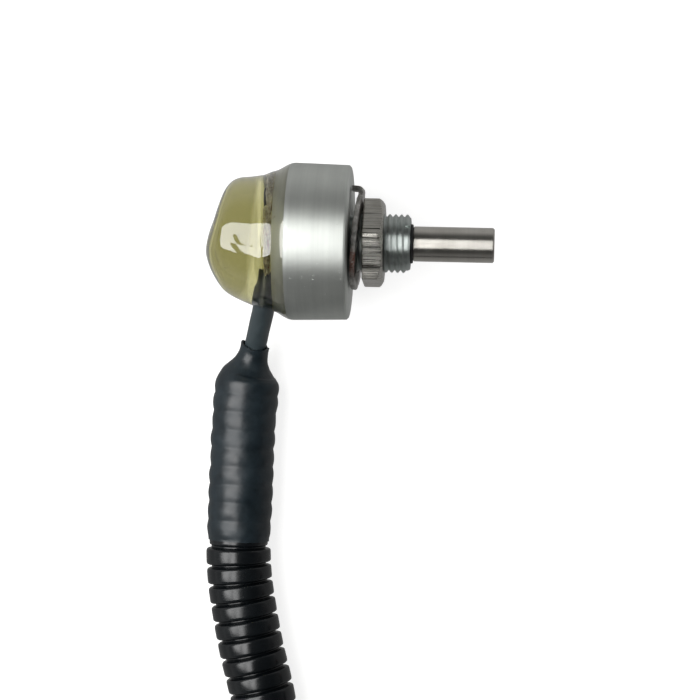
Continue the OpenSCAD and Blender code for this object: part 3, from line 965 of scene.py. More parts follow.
@dataclass(frozen=True)
class Lamp:
    """A flat lamp that faces down. Its radiance is what a mirror shows of it, where 1 is white."""

    name: str
    low_mm: tuple[float, float]
    high_mm: tuple[float, float]
    height_mm: float
    radiance: float
    mirrored: bool = True

    def build(self) -> bpy.types.Object:
        """Makes the lamp.

        Returns:
            The lamp.
        """
        width = (self.high_mm[0] - self.low_mm[0]) * MM
        depth = (self.high_mm[1] - self.low_mm[1]) * MM
        light = bpy.data.lights.new(self.name, "AREA")
        light.shape = "RECTANGLE"
        light.size = width
        light.size_y = depth
        light.energy = 4 * width * depth * self.radiance
        lamp = bpy.data.objects.new(self.name, light)
        middle = [(low + high) / 2 * MM for low, high in zip(self.low_mm, self.high_mm)]
        lamp.location = (*middle, self.height_mm * MM)
        lamp.visible_camera = False
        lamp.visible_glossy = self.mirrored
        lamp.visible_transmission = self.mirrored
        bpy.context.scene.collection.objects.link(lamp)
        return lamp


@dataclass(frozen=True)
class Studio:
    """A pale table with a window of five panes to its left, in a room that is dimmer towards +X."""

    floor_z_mm: float = -13.5
    floor_half_mm: float = 2500.0
    floor_colour: str = "#a3a3a1"
    mirrored_colour: str = "#2a2a29"
    floor_white: float = 0.8
    refracted_floor: float = 0.5
    mirrored_floor: tuple[float, float] = (0.25, 0.46)
    mirrored_reach_mm: float = 40.0
    room_low: float = 0.38
    room_high: float = 0.06
    room_slope: Place = (-0.5, 0.25, 0.0)
    lamps: tuple[Lamp, ...] = (
        Lamp("upper pane", (-600, 40), (-50, 220), 400, 4.5),
        Lamp("middle left pane", (-600, -90), (-200, 40), 400, 4.6),
        Lamp("middle right pane", (-175, -90), (-50, 40), 400, 4.6),
        Lamp("lower left pane", (-600, -235), (-250, -90), 400, 5.0),
        Lamp("lower right pane", (-205, -235), (-50, -90), 400, 5.0),
        Lamp("overhead fill", (-1500, -1500), (1500, 1500), 1600, 0.45, mirrored=False),
    )

    def build(self) -> None:
        """Makes the floor, the lamps and the room's light."""
        self.floor()
        for lamp in self.lamps:
            lamp.build()
        self.room()
        view = bpy.context.scene.view_settings
        view.view_transform = "Standard"

    def floor(self) -> None:
        """Makes the floor, which looks white but keeps the object's shadow; metal shows a darker table with a
        painted reflection that brightens towards +Y, and the resin sees the table glow.
        """
        bm = bmesh.new()
        bmesh.ops.create_grid(bm, x_segments=2, y_segments=2, size=self.floor_half_mm * MM)
        bmesh.ops.translate(bm, verts=bm.verts[:], vec=(0, 0, self.floor_z_mm * MM))
        mesh = bpy.data.meshes.new("floor")
        bm.to_mesh(mesh)
        bm.free()
        material = bpy.data.materials.new("matt table")
        material.use_nodes = True
        tree = material.node_tree
        shader = tree.nodes["Principled BSDF"]
        shader.inputs["Roughness"].default_value = 0.9
        shader.inputs["Specular IOR Level"].default_value = 0.0
        shader.inputs["Emission Color"].default_value = (1, 1, 1, 1)
        # Painted reflection: glossy rays see a darker table that glows more towards +Y, and rays through the
        # resin see it glow too.
        rays = add_node(tree, "ShaderNodeLightPath").outputs
        inputs: Inputs = {"Factor": rays["Is Glossy Ray"]}
        inputs |= {6: linear(self.floor_colour), 7: linear(self.mirrored_colour)}
        colour = add_node(tree, "ShaderNodeMix", {"data_type": "RGBA"}, inputs)
        tree.links.new(colour.outputs[2], shader.inputs["Base Color"])
        place = add_node(tree, "ShaderNodeTexCoord").outputs["Object"]
        parts = add_node(tree, "ShaderNodeSeparateXYZ", None, {0: place}).outputs
        reach = self.mirrored_reach_mm * MM
        inputs = {"Value": parts["Y"], "From Min": -reach, "From Max": reach}
        inputs |= {"To Min": self.mirrored_floor[0], "To Max": self.mirrored_floor[1]}
        mirrored = add_node(tree, "ShaderNodeMapRange", {"clamp": True}, inputs).outputs["Result"]
        total: Socket | float = 0.0
        for ray, strength in (
            ("Is Camera Ray", self.floor_white),
            ("Is Glossy Ray", mirrored),
            ("Is Transmission Ray", self.refracted_floor),
        ):
            terms: Inputs = {0: rays[ray], 1: strength, 2: total}
            total = add_node(tree, "ShaderNodeMath", {"operation": "MULTIPLY_ADD"}, terms).outputs["Value"]
        tree.links.new(total, shader.inputs["Emission Strength"])
        mesh.materials.append(material)
        plane = bpy.data.objects.new("floor", mesh)
        bpy.context.scene.collection.objects.link(plane)

    def room(self) -> None:
        """Makes the room's own light: white to the eye, brighter near the table and towards -X."""
        world = bpy.data.worlds.new("room")
        world.use_nodes = True
        bpy.context.scene.world = world
        tree = world.node_tree
        background = tree.nodes["Background"]
        background.inputs["Color"].default_value = (1, 1, 1, 1)
        place = add_node(tree, "ShaderNodeTexCoord").outputs["Generated"]
        parts = add_node(tree, "ShaderNodeSeparateXYZ", None, {0: place}).outputs
        settings = {"clamp": True, "interpolation_type": "SMOOTHSTEP"}
        inputs: Inputs = {"Value": parts["Z"], "From Min": -0.05, "From Max": 0.6}
        inputs |= {"To Min": self.room_low, "To Max": self.room_high}
        level = add_node(tree, "ShaderNodeMapRange", settings, inputs).outputs["Result"]
        slope: Inputs = {0: place, 1: self.room_slope}
        toward = add_node(tree, "ShaderNodeVectorMath", {"operation": "DOT_PRODUCT"}, slope).outputs["Value"]
        side = add_node(tree, "ShaderNodeMath", {"operation": "ADD"}, {0: toward, 1: 1.0}).outputs["Value"]
        dimmed = add_node(tree, "ShaderNodeMath", {"operation": "MULTIPLY"}, {0: level, 1: side})
        seen = add_node(tree, "ShaderNodeLightPath").outputs["Is Camera Ray"]
        brighter: Inputs = {0: dimmed.outputs["Value"], 1: seen}
        strength = add_node(tree, "ShaderNodeMath", {"operation": "MAXIMUM"}, brighter)
        tree.links.new(strength.outputs["Value"], background.inputs["Strength"])


# ---------------------------------------------------------------- lead


@dataclass
class Lead:
    """The lead: jacketed cable, shrunk sleeve, corrugated conduit, its coil with a tie, and the plug."""

    exit_mm: Place = (-14.4, -11.0, 0.0)
    cable_d: float = 3.8
    cable_places: tuple[Place, ...] = (
        (-12.95, -4.2, 4.2), (-13.3, -6.4, 3.6), (-13.85, -8.6, 2.2), (-14.5, -10.8, 0.2),
        (-15.15, -13, -2.1), (-15.85, -15.2, -4.3), (-16.5, -17.4, -6), (-17.05, -19.6, -7),
        (-17.6, -21.8, -7.5), (-18, -23.7, -7.65),
    )  # fmt: skip
    sleeve_places: tuple[Place, ...] = (
        (-16.65, -17.9, -6.3), (-16.9, -18.9, -6.7), (-17.15, -20, -7.1), (-17.45, -21.2, -7.4),
        (-17.75, -22.4, -7.65), (-18, -23.8, -7.8), (-18.3, -28, -7.8), (-18.55, -34, -7.8),
        (-18.7, -40, -7.8), (-18.8, -46, -7.8), (-18.9, -52.3, -7.8),
    )  # fmt: skip
    flare: tuple[Place, ...] = (
        (0, 2.55, 0), (1.2, 2.5, 0), (2.6, 2.75, 0), (3.8, 3.4, 0), (4.9, 4.35, 0), (5.9, 5.1, 0),
        (7, 5.5, 0), (9, 5.56, 0),
    )  # fmt: skip
    conduit_places: tuple[Place, ...] = (
        (-18.2, -24.4, -7.8), (-18.4, -31, -7.8), (-18.6, -38, -7.8), (-18.8, -45, -7.8),
        (-18.9, -52.4, -7.8), (-18.8, -56, -7.8), (-18.4, -60, -7.8), (-17.7, -64, -7.8),
        (-16.9, -68, -7.8), (-16, -72, -7.8), (-14.9, -76, -7.8), (-13.6, -81.5, -7.8),
        (-12.1, -91.8, -7.8), (-12.4, -101.4, -7.8), (-14.5, -110, -7.8),
    )  # fmt: skip
    gripped_mm: float = 29.0
    gripped_r: float = 5.15
    tail_places: tuple[Place, ...] = (
        (82.3, -154, 3.6), (83.5, -149, 3.6), (84.4, -144, 3.6), (84.9, -139, 3.5), (85.2, -134, 3.1),
        (85.3, -129, 2.4), (85.3, -124, 1.4), (85.3, -119, 0), (85.3, -114, -2.3), (85.2, -109, -4),
        (85.1, -104, -5.3), (85, -99, -6.1), (85, -94, -6.3), (85, -88.1, -6.3),
    )  # fmt: skip
    coil_centre: tuple[float, float] = (28.6, -145)
    coil_r: float = 54.0
    coil_start_deg: float = 150.0
    coil_sweep_deg: float = 555.0
    climb_start_deg: float = 440.0
    climb_sweep_deg: float = 45.0
    coil_step_deg: float = 5.0
    conduit_d: float = 11.4
    low_z: float = -7.8
    rib_pitch: float = 3.17
    rib_shift: float = 1.45
    root_r: float = 4.7
    rib_shape: tuple[tuple[float, float], ...] = (
        (0.0, 0.0), (0.05, 0.1), (0.09, 0.1), (0.13, 0.0), (0.16, 0.3), (0.18, 0.72), (0.24, 0.95),
        (0.33, 1.0), (0.83, 1.0), (0.92, 0.95), (0.98, 0.72), (0.99, 0.3),
    )  # fmt: skip
    sides: int = 28
    sleeve_wall: float = 0.4
    strap_t: float = 0.9
    strap_slack: float = 0.5
    tie_head: float = 3.0
    pieces: list[bpy.types.Object] = field(default_factory=list)

    def build(self) -> None:
        conduit = self.conduit()
        self.jacket()
        self.sleeve()
        self.tie()
        self.pieces.extend(Plug().build())
        route = self.conduit_route()
        steps = round(route.length / 4)
        path = [route.at(route.length * i / steps)[0] * MM for i in range(steps + 1)]

    def coil_places(self) -> list[Place]:
        """Works out the coil: one turn on the table, then a climb to the turn on top of it.

        Returns:
            Its places, in millimetres.
        """
        places = []
        for i in range(round(self.coil_sweep_deg / self.coil_step_deg) + 1):
            angle = self.coil_start_deg + i * self.coil_step_deg
            climbed = smooth_step((angle - self.climb_start_deg) / self.climb_sweep_deg)
            x = self.coil_centre[0] + self.coil_r * math.cos(math.radians(angle))
            y = self.coil_centre[1] + self.coil_r * math.sin(math.radians(angle))
            places.append((x, y, self.low_z + self.conduit_d * climbed))
        return places

    def conduit_route(self) -> Route:
        """Gives the conduit's route from the sleeve to the plug."""
        return Route.through([*self.conduit_places, *self.coil_places(), *self.tail_places])

    def conduit(self) -> bpy.types.Object:
        """Makes the corrugated conduit: each rib is a flat crest with rounded shoulders.

        Returns:
            The conduit.
        """
        route = self.conduit_route()
        start = (route.length + self.rib_shift) % self.rib_pitch
        ribs = int((route.length - start) / self.rib_pitch)
        rings = [(0.0, self.root_r)]
        for rib in range(ribs):
            gripped = start + (rib + 1) * self.rib_pitch < self.gripped_mm
            crest = self.gripped_r if gripped else self.conduit_d / 2
            for along, height in self.rib_shape:
                radius = self.root_r + (crest - self.root_r) * height
                rings.append((start + (rib + along) * self.rib_pitch, radius))
        rings.append((route.length, self.root_r))
        bm = tube(route, rings, self.sides)
        keep_above_floor(bm)
        nodes = ["conduit", "conduit_coil", "conduit_tail"]
        return make_piece("corrugated_conduit", bm, Body.STATOR, [CONDUIT_NYLON], nodes, 60)

    def jacket(self) -> None:
        """Makes the bare stretch of jacketed cable, cut square in the potting."""
        route = Route.through(self.cable_places)
        radius = self.cable_d / 2
        rings = route.rings(radius, round(route.length / 0.4))
        rings = [(0.0, radius - 0.25), (0.06, radius - 0.08), *rings[1:]]
        bm = tube(route, rings, 32)
        roughen(bm, 3.0, 0.1, 3.1)
        nodes = ["cable_jacket"]
        piece = make_piece("jacketed_cable", bm, Body.STATOR, [JACKET_PVC], nodes, 50)
        self.pieces.append(piece)

    def sleeve_radius(self, distance: float, length: float, flare: Route) -> float:
        """Gives the sleeve's outside radius.

        Args:
            distance: The distance from its lip, in millimetres.
            length: Its whole length.
            flare: Its outline from the lip to its full width.

        Returns:
            The radius, with the conduit's ribs showing through, in millimetres.
        """
        if distance < flare.points[-1].x:
            radius = min(flare.points, key=lambda point: abs(point.x - distance)).y
        else:
            radius = flare.points[-1].y
        ribbed = smooth_step((distance - 5) / 2) * smooth_step((length - 0.9 - distance) / 1.5)
        wave = 0.5 - 0.5 * math.cos(TURN * (length - distance - 0.4) / self.rib_pitch)
        hem = -0.2 * smooth_step((distance - length + 1.4) / 1.2)
        return radius + ribbed * 0.2 * (wave**0.5 - 0.6) + hem

    def sleeve(self) -> None:
        """Makes the shrunk sleeve: a ragged lip on the cable, a flare, and soft ribs over the conduit."""
        route = Route.through(self.sleeve_places)
        flare = Route.through(self.flare, 0.02)
        count = round(route.length / 0.22)
        outside: Profile = []
        for i in range(count + 1):
            distance = route.length * i / count
            outside.append((distance, self.sleeve_radius(distance, route.length, flare)))
        inside = [(x, radius - self.sleeve_wall) for x, radius in reversed(outside)]
        inside = [(x, max(radius, self.cable_d / 2 + 0.15)) for x, radius in inside]
        bm = bmesh.new()
        revolve(bm, [*outside, *inside], 72)
        for vert in bm.verts:
            place = vert.co / MM
            around = Vector((place.x, 4 * place.y / 5, 4 * place.z / 5))
            out = Vector((0, place.y, place.z)).normalized()
            lumps = 0.16 * noise.noise(around / 4.5) + 0.05 * noise.noise(around / 1.3 + X_AXIS)
            nick = (place - Vector((route.length - 2.1, -4.9, 0.9))).length
            snag = 0.5 * math.exp(-((nick / 0.55) ** 2))
            frayed = math.exp(-place.x / 0.6)
            tears = 0.55 * noise.noise(out * 1.6) + 0.25 * noise.noise(out * 5)
            vert.co += (out * (lumps + snag) + X_AXIS * frayed * tears) * MM
            vert.co.x = min(max(vert.co.x, 0.0), route.length * MM)
        follow(bm, route)
        keep_above_floor(bm)
        finishes = [SHRINK_POLYOLEFIN]
        piece = make_piece("shrunk_sleeve", bm, Body.STATOR, finishes, ["heat_shrink"], 60)
        self.pieces.append(piece)

    def tie(self) -> None:
        """Makes the cable tie: a strap round both turns, its head and its cut tail."""
        low, high = box_mm("coil_tie")
        middle = (low + high) / 2
        wide = (high.x - low.x - 1) / 2
        top = high.z - self.tie_head
        bm = bmesh.new()
        corner_r = self.conduit_d / 2 + self.strap_t - self.strap_slack
        half_y, half_z = (high.y - low.y) / 2, (top - low.z) / 2
        centre_z = (top + low.z) / 2
        outline: Profile = []
        for sign_y, sign_z, start in ((1, 1, 0), (-1, 1, 90), (-1, -1, 180), (1, -1, 270)):
            corner_y = middle.y + sign_y * (half_y - corner_r)
            corner_z = centre_z + sign_z * (half_z - corner_r)
            outline += arc((corner_y, corner_z), corner_r, start, start + 90, 10)
        edges = draw_outline(bm, [(middle.x - wide, y, z) for y, z in outline])
        grown = bmesh.ops.extrude_edge_only(bm, edges=edges)["geom"]
        moved = [item for item in grown if isinstance(item, bmesh.types.BMVert)]
        bmesh.ops.translate(bm, verts=moved, vec=(2 * wide * MM, 0, 0))
        bmesh.ops.recalc_face_normals(bm, faces=bm.faces[:])
        bmesh.ops.solidify(bm, geom=bm.faces[:], thickness=self.strap_t * MM)
        block(bm, (low.x, middle.y - 3, top - 0.4), (high.x, middle.y + 3, high.z), 0.6)
        tail_low = (middle.x - 1.4, middle.y - 3.6, high.z - 1.6)
        block(bm, tail_low, (middle.x + 1.4, middle.y - 2.9, high.z - 0.6), 0.2)
        piece = make_piece("cable_tie", bm, Body.STATOR, [TIE_NYLON], ["coil_tie"])
        self.pieces.append(piece)


@dataclass
class Plug:
    """The plug on the lead's far end: a ribbed boot, a keyed shell with a latch, a nose seal and contacts."""

    boot_ribs: int = 5
    boot_mouth: float = 4.0
    boot_mouth_r: float = 5.52
    latch_h: float = 1.8
    latch_slope: float = 0.12
    arm_x: float = 3.4
    nose_half_h: float = 4.3
    pocket_wall: float = 1.1
    pocket_depth: float = 4.5
    contact_pitch: float = 3.4
    contact_r: float = 1.13
    way_r: float = 0.8
    way_floor: float = 4.0

    def build(self) -> list[bpy.types.Object]:
        """Makes the plug's pieces.

        Returns:
            The pieces.
        """
        return [self.boot(), self.shell(), self.seal(), self.contacts()]

    def lay_along_y(self, bm: bmesh.types.BMesh, axis: Vector) -> None:
        """Turns a shape made about the X axis so that it runs along +Y, and puts its axis at a place."""
        turn = Matrix.Rotation(math.radians(90), 4, "Z")
        bmesh.ops.transform(bm, matrix=Matrix.Translation(axis * MM) @ turn, verts=bm.verts[:])

    def boot(self) -> bpy.types.Object:
        """Makes the rubber boot, with grip ribs round it.

        Returns:
            The boot.
        """
        low, high = box_mm("connector_boot")
        radius = (high.z - low.z) / 2
        length = high.y - low.y
        profile: Profile = [(self.boot_mouth, 0.0), (self.boot_mouth, self.boot_mouth_r)]
        profile += [(0.0, self.boot_mouth_r), (0.0, radius - 0.9), (0.25, radius - 0.5)]
        pitch = (length - 2) / self.boot_ribs
        for rib in range(self.boot_ribs):
            start = 0.6 + rib * pitch
            profile += arc((start + pitch * 0.36, radius - 0.55), 0.55, 160, 20, 6)
            profile.append((start + pitch * 0.86, radius - 0.55))
        profile += [(length, radius - 0.5), (length, 0.0)]
        bm = bmesh.new()
        revolve(bm, profile, 72, closed=False)
        self.lay_along_y(bm, Vector(((low.x + high.x) / 2, low.y, (low.z + high.z) / 2)))
        return make_piece("plug_boot", bm, Body.STATOR, [NITRILE], ["connector_boot"])

    def shell(self) -> bpy.types.Object:
        """Makes the moulded shell: a keyed block, a latch on springy arms and a nose with a pocket.

        Returns:
            The shell.
        """
        low, high = box_mm("connector_body")
        nose_y = box_mm("connector_seal")[0].y
        middle_x = (low.x + high.x) / 2
        top = high.z - self.latch_h
        middle_z = (low.z + top) / 2
        nose_half = Vector(((high.x - low.x) / 2 - 2, 0, self.nose_half_h))
        bm = bmesh.new()
        block(bm, (low.x, low.y, low.z), (high.x, nose_y, top), 2.2, 4)
        nose = block(
            bm,
            (middle_x - nose_half.x, nose_y - 0.3, middle_z - nose_half.z),
            (middle_x + nose_half.x, high.y, middle_z + nose_half.z),
        )
        sides = {face for vert in nose for face in vert.link_faces}
        front = max(sides, key=lambda face: face.calc_center_median().y)
        bmesh.ops.inset_region(bm, faces=[front], thickness=self.pocket_wall * MM)
        pushed = bmesh.ops.extrude_discrete_faces(bm, faces=[front])["faces"]
        bmesh.ops.translate(bm, verts=pushed[0].verts[:], vec=(0, -self.pocket_depth * MM, 0))
        for side in (-1, 1):
            arm_x = middle_x + side * self.arm_x
            block(bm, (arm_x - 0.6, low.y + 2, top - 0.3), (arm_x + 0.6, nose_y - 2, top + 1.1), 0.3)
            key_x = low.x if side < 0 else high.x
            corner = (key_x - 0.35, low.y + 1.2, middle_z - 2)
            block(bm, corner, (key_x + 0.35, nose_y - 5, middle_z + 2), 0.3)
        latch = block(bm, (middle_x - 3, low.y + 3, top - 0.3), (middle_x + 3, low.y + 12, high.z), 0.35)
        for vert in latch:
            if vert.co.z > (top + 0.5) * MM:
                vert.co.z -= max(0.0, low.y + 10 - vert.co.y / MM) * self.latch_slope * MM
        for vert in bm.verts:
            vert.co.x = min(max(vert.co.x, low.x * MM), high.x * MM)
        finishes = [MOULDED_POLYAMIDE]
        return make_piece("plug_shell", bm, Body.STATOR, finishes, ["connector_body"])

    def seal(self) -> bpy.types.Object:
        """Makes the nose's seal: a band with a rib round its middle.

        Returns:
            The seal.
        """
        low, high = box_mm("connector_seal")
        bm = bmesh.new()
        span = high.y - low.y
        for start, end, inset in ((0, 0.3, 0.5), (0.32, 0.62, 0.0), (0.64, 1, 0.5)):
            corner = (low.x + inset, low.y + span * start, low.z + inset)
            block(bm, corner, (high.x - inset, low.y + span * end, high.z - inset), 0.32)
        return make_piece("plug_seal", bm, Body.STATOR, [SILICONE], ["connector_seal"])

    def contacts(self) -> bpy.types.Object:
        """Makes the three socket contacts.

        Returns:
            The contacts, as one piece.
        """
        low, high = box_mm("connector_contacts")
        axis_z = (low.z + high.z) / 2
        middle_x = (low.x + high.x) / 2
        length = high.y - low.y
        profile: Profile = [(0.0, 0.0), (0.0, self.contact_r), (length - 0.3, self.contact_r)]
        profile += [(length, self.contact_r - 0.15), (length, self.way_r)]
        profile += [(self.way_floor, self.way_r), (self.way_floor, 0.0)]
        whole = bmesh.new()
        for way in (-1, 0, 1):
            bm = bmesh.new()
            revolve(bm, profile, 32, closed=False)
            self.lay_along_y(bm, Vector((middle_x + way * self.contact_pitch, low.y, axis_z)))
            join(whole, bm)
        nodes = ["connector_contacts"]
        return make_piece("plug_contacts", whole, Body.STATOR, [GOLD_PLATE], nodes)


# ---------------------------------------------------------------- sensor


@dataclass
class Housing:
    """The turned housing with its bushing, and the helical thread that is cut on it."""

    rear_round: float = 2.8
    front_slim: float = 0.25
    front_chamfer: float = 0.3
    bore_r: float = 3.75
    bearing_r: float = 4.2
    space_r: float = 10.0
    skirt_r: float = 10.6
    bearing_x: float = -0.6
    wall_x: float = -3.5
    ledge_x: float = -8.1
    root_r: float = 4.6
    crest_r: float = 5.0
    pitch: float = 1.0
    thread_start: float = 1.0
    chamfer_x: float = 10.15
    thread_steps: int = 96
    steps: int = 192

    def build(self) -> None:
        """Makes the housing."""
        low, high = box_mm("housing")
        radius, rear, mouth = high.y, low.x, high.x
        edge, front_r = self.front_chamfer, radius - self.front_slim
        profile: Profile = [(rear, self.skirt_r), (rear, radius - self.rear_round)]
        profile += arc((rear + self.rear_round, radius - self.rear_round), self.rear_round, 180, 90, 14)[1:]
        profile += [(-edge - 0.08, front_r), (-edge, front_r - 0.02), (-0.02, front_r - edge)]
        profile += [(0.0, front_r - edge - 0.08), (0.0, self.root_r + 0.2), (0.2, self.root_r)]
        profile += [(mouth - 0.35, self.root_r), (mouth, self.root_r - 0.2), (mouth, self.bore_r)]
        profile += [(self.bearing_x, self.bore_r), (self.bearing_x, self.bearing_r)]
        profile += [(self.wall_x, self.bearing_r), (self.wall_x, self.space_r)]
        profile += [(self.ledge_x, self.space_r), (self.ledge_x, self.skirt_r)]
        bm = bmesh.new()
        revolve(bm, profile, self.steps)
        body_faces = set(bm.faces)
        self.thread(bm, mouth)
        for face in bm.faces:
            on_bushing = face not in body_faces or face.calc_center_median().x > 0.05 * MM
            face.material_index = 1 if on_bushing else 0
        finishes = [TURNED_ALUMINIUM, THREADED_ALUMINIUM]
        make_piece("turned_housing", bm, Body.STATOR, finishes, ["housing"], 28)

    def thread(self, bm: bmesh.types.BMesh, mouth: float) -> None:
        """Adds the thread: one ridge wound round the bushing, cut off by the chamfer at its mouth.

        Args:
            bm: The housing's mesh.
            mouth: Where the bushing ends, in millimetres.
        """
        half, flat = self.pitch * 0.47, self.pitch * 0.16
        start, foot_r, shoulder_r = self.thread_start, self.root_r - 0.06, self.crest_r - 0.06
        ridge: Profile = [(start - half, foot_r), (start - flat, shoulder_r)]
        ridge += [(start - flat / 2, self.crest_r), (start + flat / 2, self.crest_r)]
        ridge += [(start + flat, shoulder_r), (start + half, foot_r)]
        turns = (mouth - 0.5 - start) / self.pitch
        edges = draw_outline(bm, [(x, 0, r) for x, r in ridge])
        steps = round(self.thread_steps * turns)
        bmesh.ops.edgeloop_fill(bm, edges=edges)
        spun = bmesh.ops.spin(
            bm,
            geom=edges,
            cent=(0, 0, 0),
            axis=X_AXIS,
            dvec=(self.pitch * turns / steps * MM, 0, 0),
            angle=TURN * turns,
            steps=steps,
            use_merge=False,
        )
        last = [item for item in spun["geom_last"] if isinstance(item, bmesh.types.BMEdge)]
        bmesh.ops.edgeloop_fill(bm, edges=last)
        for vert in bm.verts:
            beyond = vert.co.x / MM - self.chamfer_x
            reach = math.hypot(vert.co.y, vert.co.z) / MM
            limit = self.crest_r - beyond
            if beyond > 0 and reach > max(limit, self.root_r):
                set_radius(vert, max(limit, self.root_r))


@dataclass
class Shaft:
    """The ground shaft: a free end with a small chamfer, and a journal with a ring groove."""

    journal_r: float = 2.5
    hub_seat_r: float = 2.0
    groove_depth: float = 0.4
    groove_gap: float = 0.02
    seal_gap: float = 0.1
    tip_chamfer: float = 0.2
    face_r: float = 1.0
    steps: int = 128

    def build(self) -> None:
        """Makes the shaft."""
        low, high = box_mm("shaft")
        ring_low, ring_high = box_mm("retaining_ring")
        radius, tip, rear = high.y, high.x, low.x
        shoulder = box_mm("shaft_seal")[1].x + self.seal_gap
        hub_x = box_mm("rotor_hub")[1].x
        groove_r = self.journal_r - self.groove_depth
        profile: Profile = [(rear, 0.0), (rear, self.hub_seat_r)]
        profile += [(hub_x, self.hub_seat_r), (hub_x, self.journal_r)]
        groove_rear, groove_front = ring_low.x - self.groove_gap, ring_high.x + self.groove_gap
        profile += [(groove_rear, self.journal_r), (groove_rear, groove_r)]
        profile += [(groove_front, groove_r), (groove_front, self.journal_r)]
        profile += [(shoulder, self.journal_r), (shoulder, radius - 0.1), (shoulder + 0.1, radius)]
        profile += arc((tip - self.tip_chamfer - 0.12, radius - 0.12), 0.12, 90, 45, 3)
        profile += arc((tip - 0.1, radius - self.tip_chamfer - 0.14), 0.1, 45, 0, 3)
        profile += [(tip, self.face_r), (tip, 0.0)]
        bm = bmesh.new()
        revolve(bm, profile, self.steps, closed=False)
        make_piece("ground_shaft", bm, Body.ROTOR, [GROUND_STEEL], ["shaft"], 25)


@dataclass
class Seal:
    """The rubber seal in the bushing's mouth, with the lip that stands out round the shaft."""

    inner_r: float = 2.53
    lip_r: float = 3.35
    lip_len: float = 0.55
    lip_round: float = 0.17

    def build(self) -> None:
        """Makes the seal."""
        low, high = box_mm("shaft_seal")
        radius, shelf = high.y, high.x - self.lip_len
        profile: Profile = [(low.x, self.inner_r), (low.x, radius)]
        profile += [(shelf - 0.1, radius), (shelf, self.lip_r)]
        profile += arc((high.x - 0.18, self.lip_r - 0.16), self.lip_round, 90, 0, 5)
        profile.append((high.x, self.inner_r))
        bm = bmesh.new()
        revolve(bm, profile, 96)
        make_piece("shaft_lip_seal", bm, Body.STATOR, [NITRILE], ["shaft_seal"])


@dataclass
class Nut:
    """The hexagon nut: flats with softened corners, and a chamfer on its outer face."""

    apothem: float = 7.0
    bore_r: float = 4.5
    sink_r: float = 5.05
    sink_depth: float = 0.5
    corner_deg: float = 7.5
    flat_share: float = 0.95
    rolled_edge: float = 0.2
    rolled_depth: float = 0.24
    chamfer_deg: float = 30.0
    corner_sharpness: float = 170.0
    steps: int = 360

    def reach(self, angle: float) -> float:
        """Gives the nut's radius at an angle from a corner, with the corner a little rounded.

        Args:
            angle: The angle from a corner, in radians.

        Returns:
            The radius.
        """
        power = self.corner_sharpness
        flats = [math.cos(angle - math.radians(30 + 60 * flat)) / self.apothem for flat in range(6)]
        return sum(max(0.0, flat) ** power for flat in flats) ** (-1 / power)

    def build(self) -> None:
        """Makes the nut."""
        low, high = box_mm("hex_nut")
        flat_r = self.apothem * self.flat_share
        slope = math.tan(math.radians(self.chamfer_deg))
        thick = high.x - low.x
        corner_r = self.apothem / math.cos(math.radians(30))
        corner_depth = (corner_r - flat_r) * slope
        sides = [0.0, 0.06, 0.14, self.rolled_depth]
        sides += [thick - corner_depth * i / 8 for i in reversed(range(9))]
        profile: Profile = [(low.x, self.sink_r), (low.x, flat_r - 0.2)]
        profile += [(low.x + depth, 2 * self.apothem) for depth in sides]
        profile += [(high.x, flat_r - 0.2), (high.x, self.sink_r)]
        profile += [(high.x - self.sink_depth, self.bore_r), (low.x + self.sink_depth, self.bore_r)]
        bm = bmesh.new()
        revolve(bm, profile, self.steps)
        for vert in bm.verts:
            if math.hypot(vert.co.y, vert.co.z) / MM < flat_r:
                continue
            angle = math.atan2(vert.co.y, vert.co.z) - math.radians(self.corner_deg)
            outward, inward = high.x - vert.co.x / MM, vert.co.x / MM - low.x
            rolled = self.rolled_edge * (1 - min(inward / self.rolled_depth, 1.0)) ** 2
            set_radius(vert, min(self.reach(angle) - rolled, flat_r + outward / slope))
        make_piece("hexagon_nut", bm, Body.STATOR, [NICKEL_PLATE], ["hex_nut"], 18)


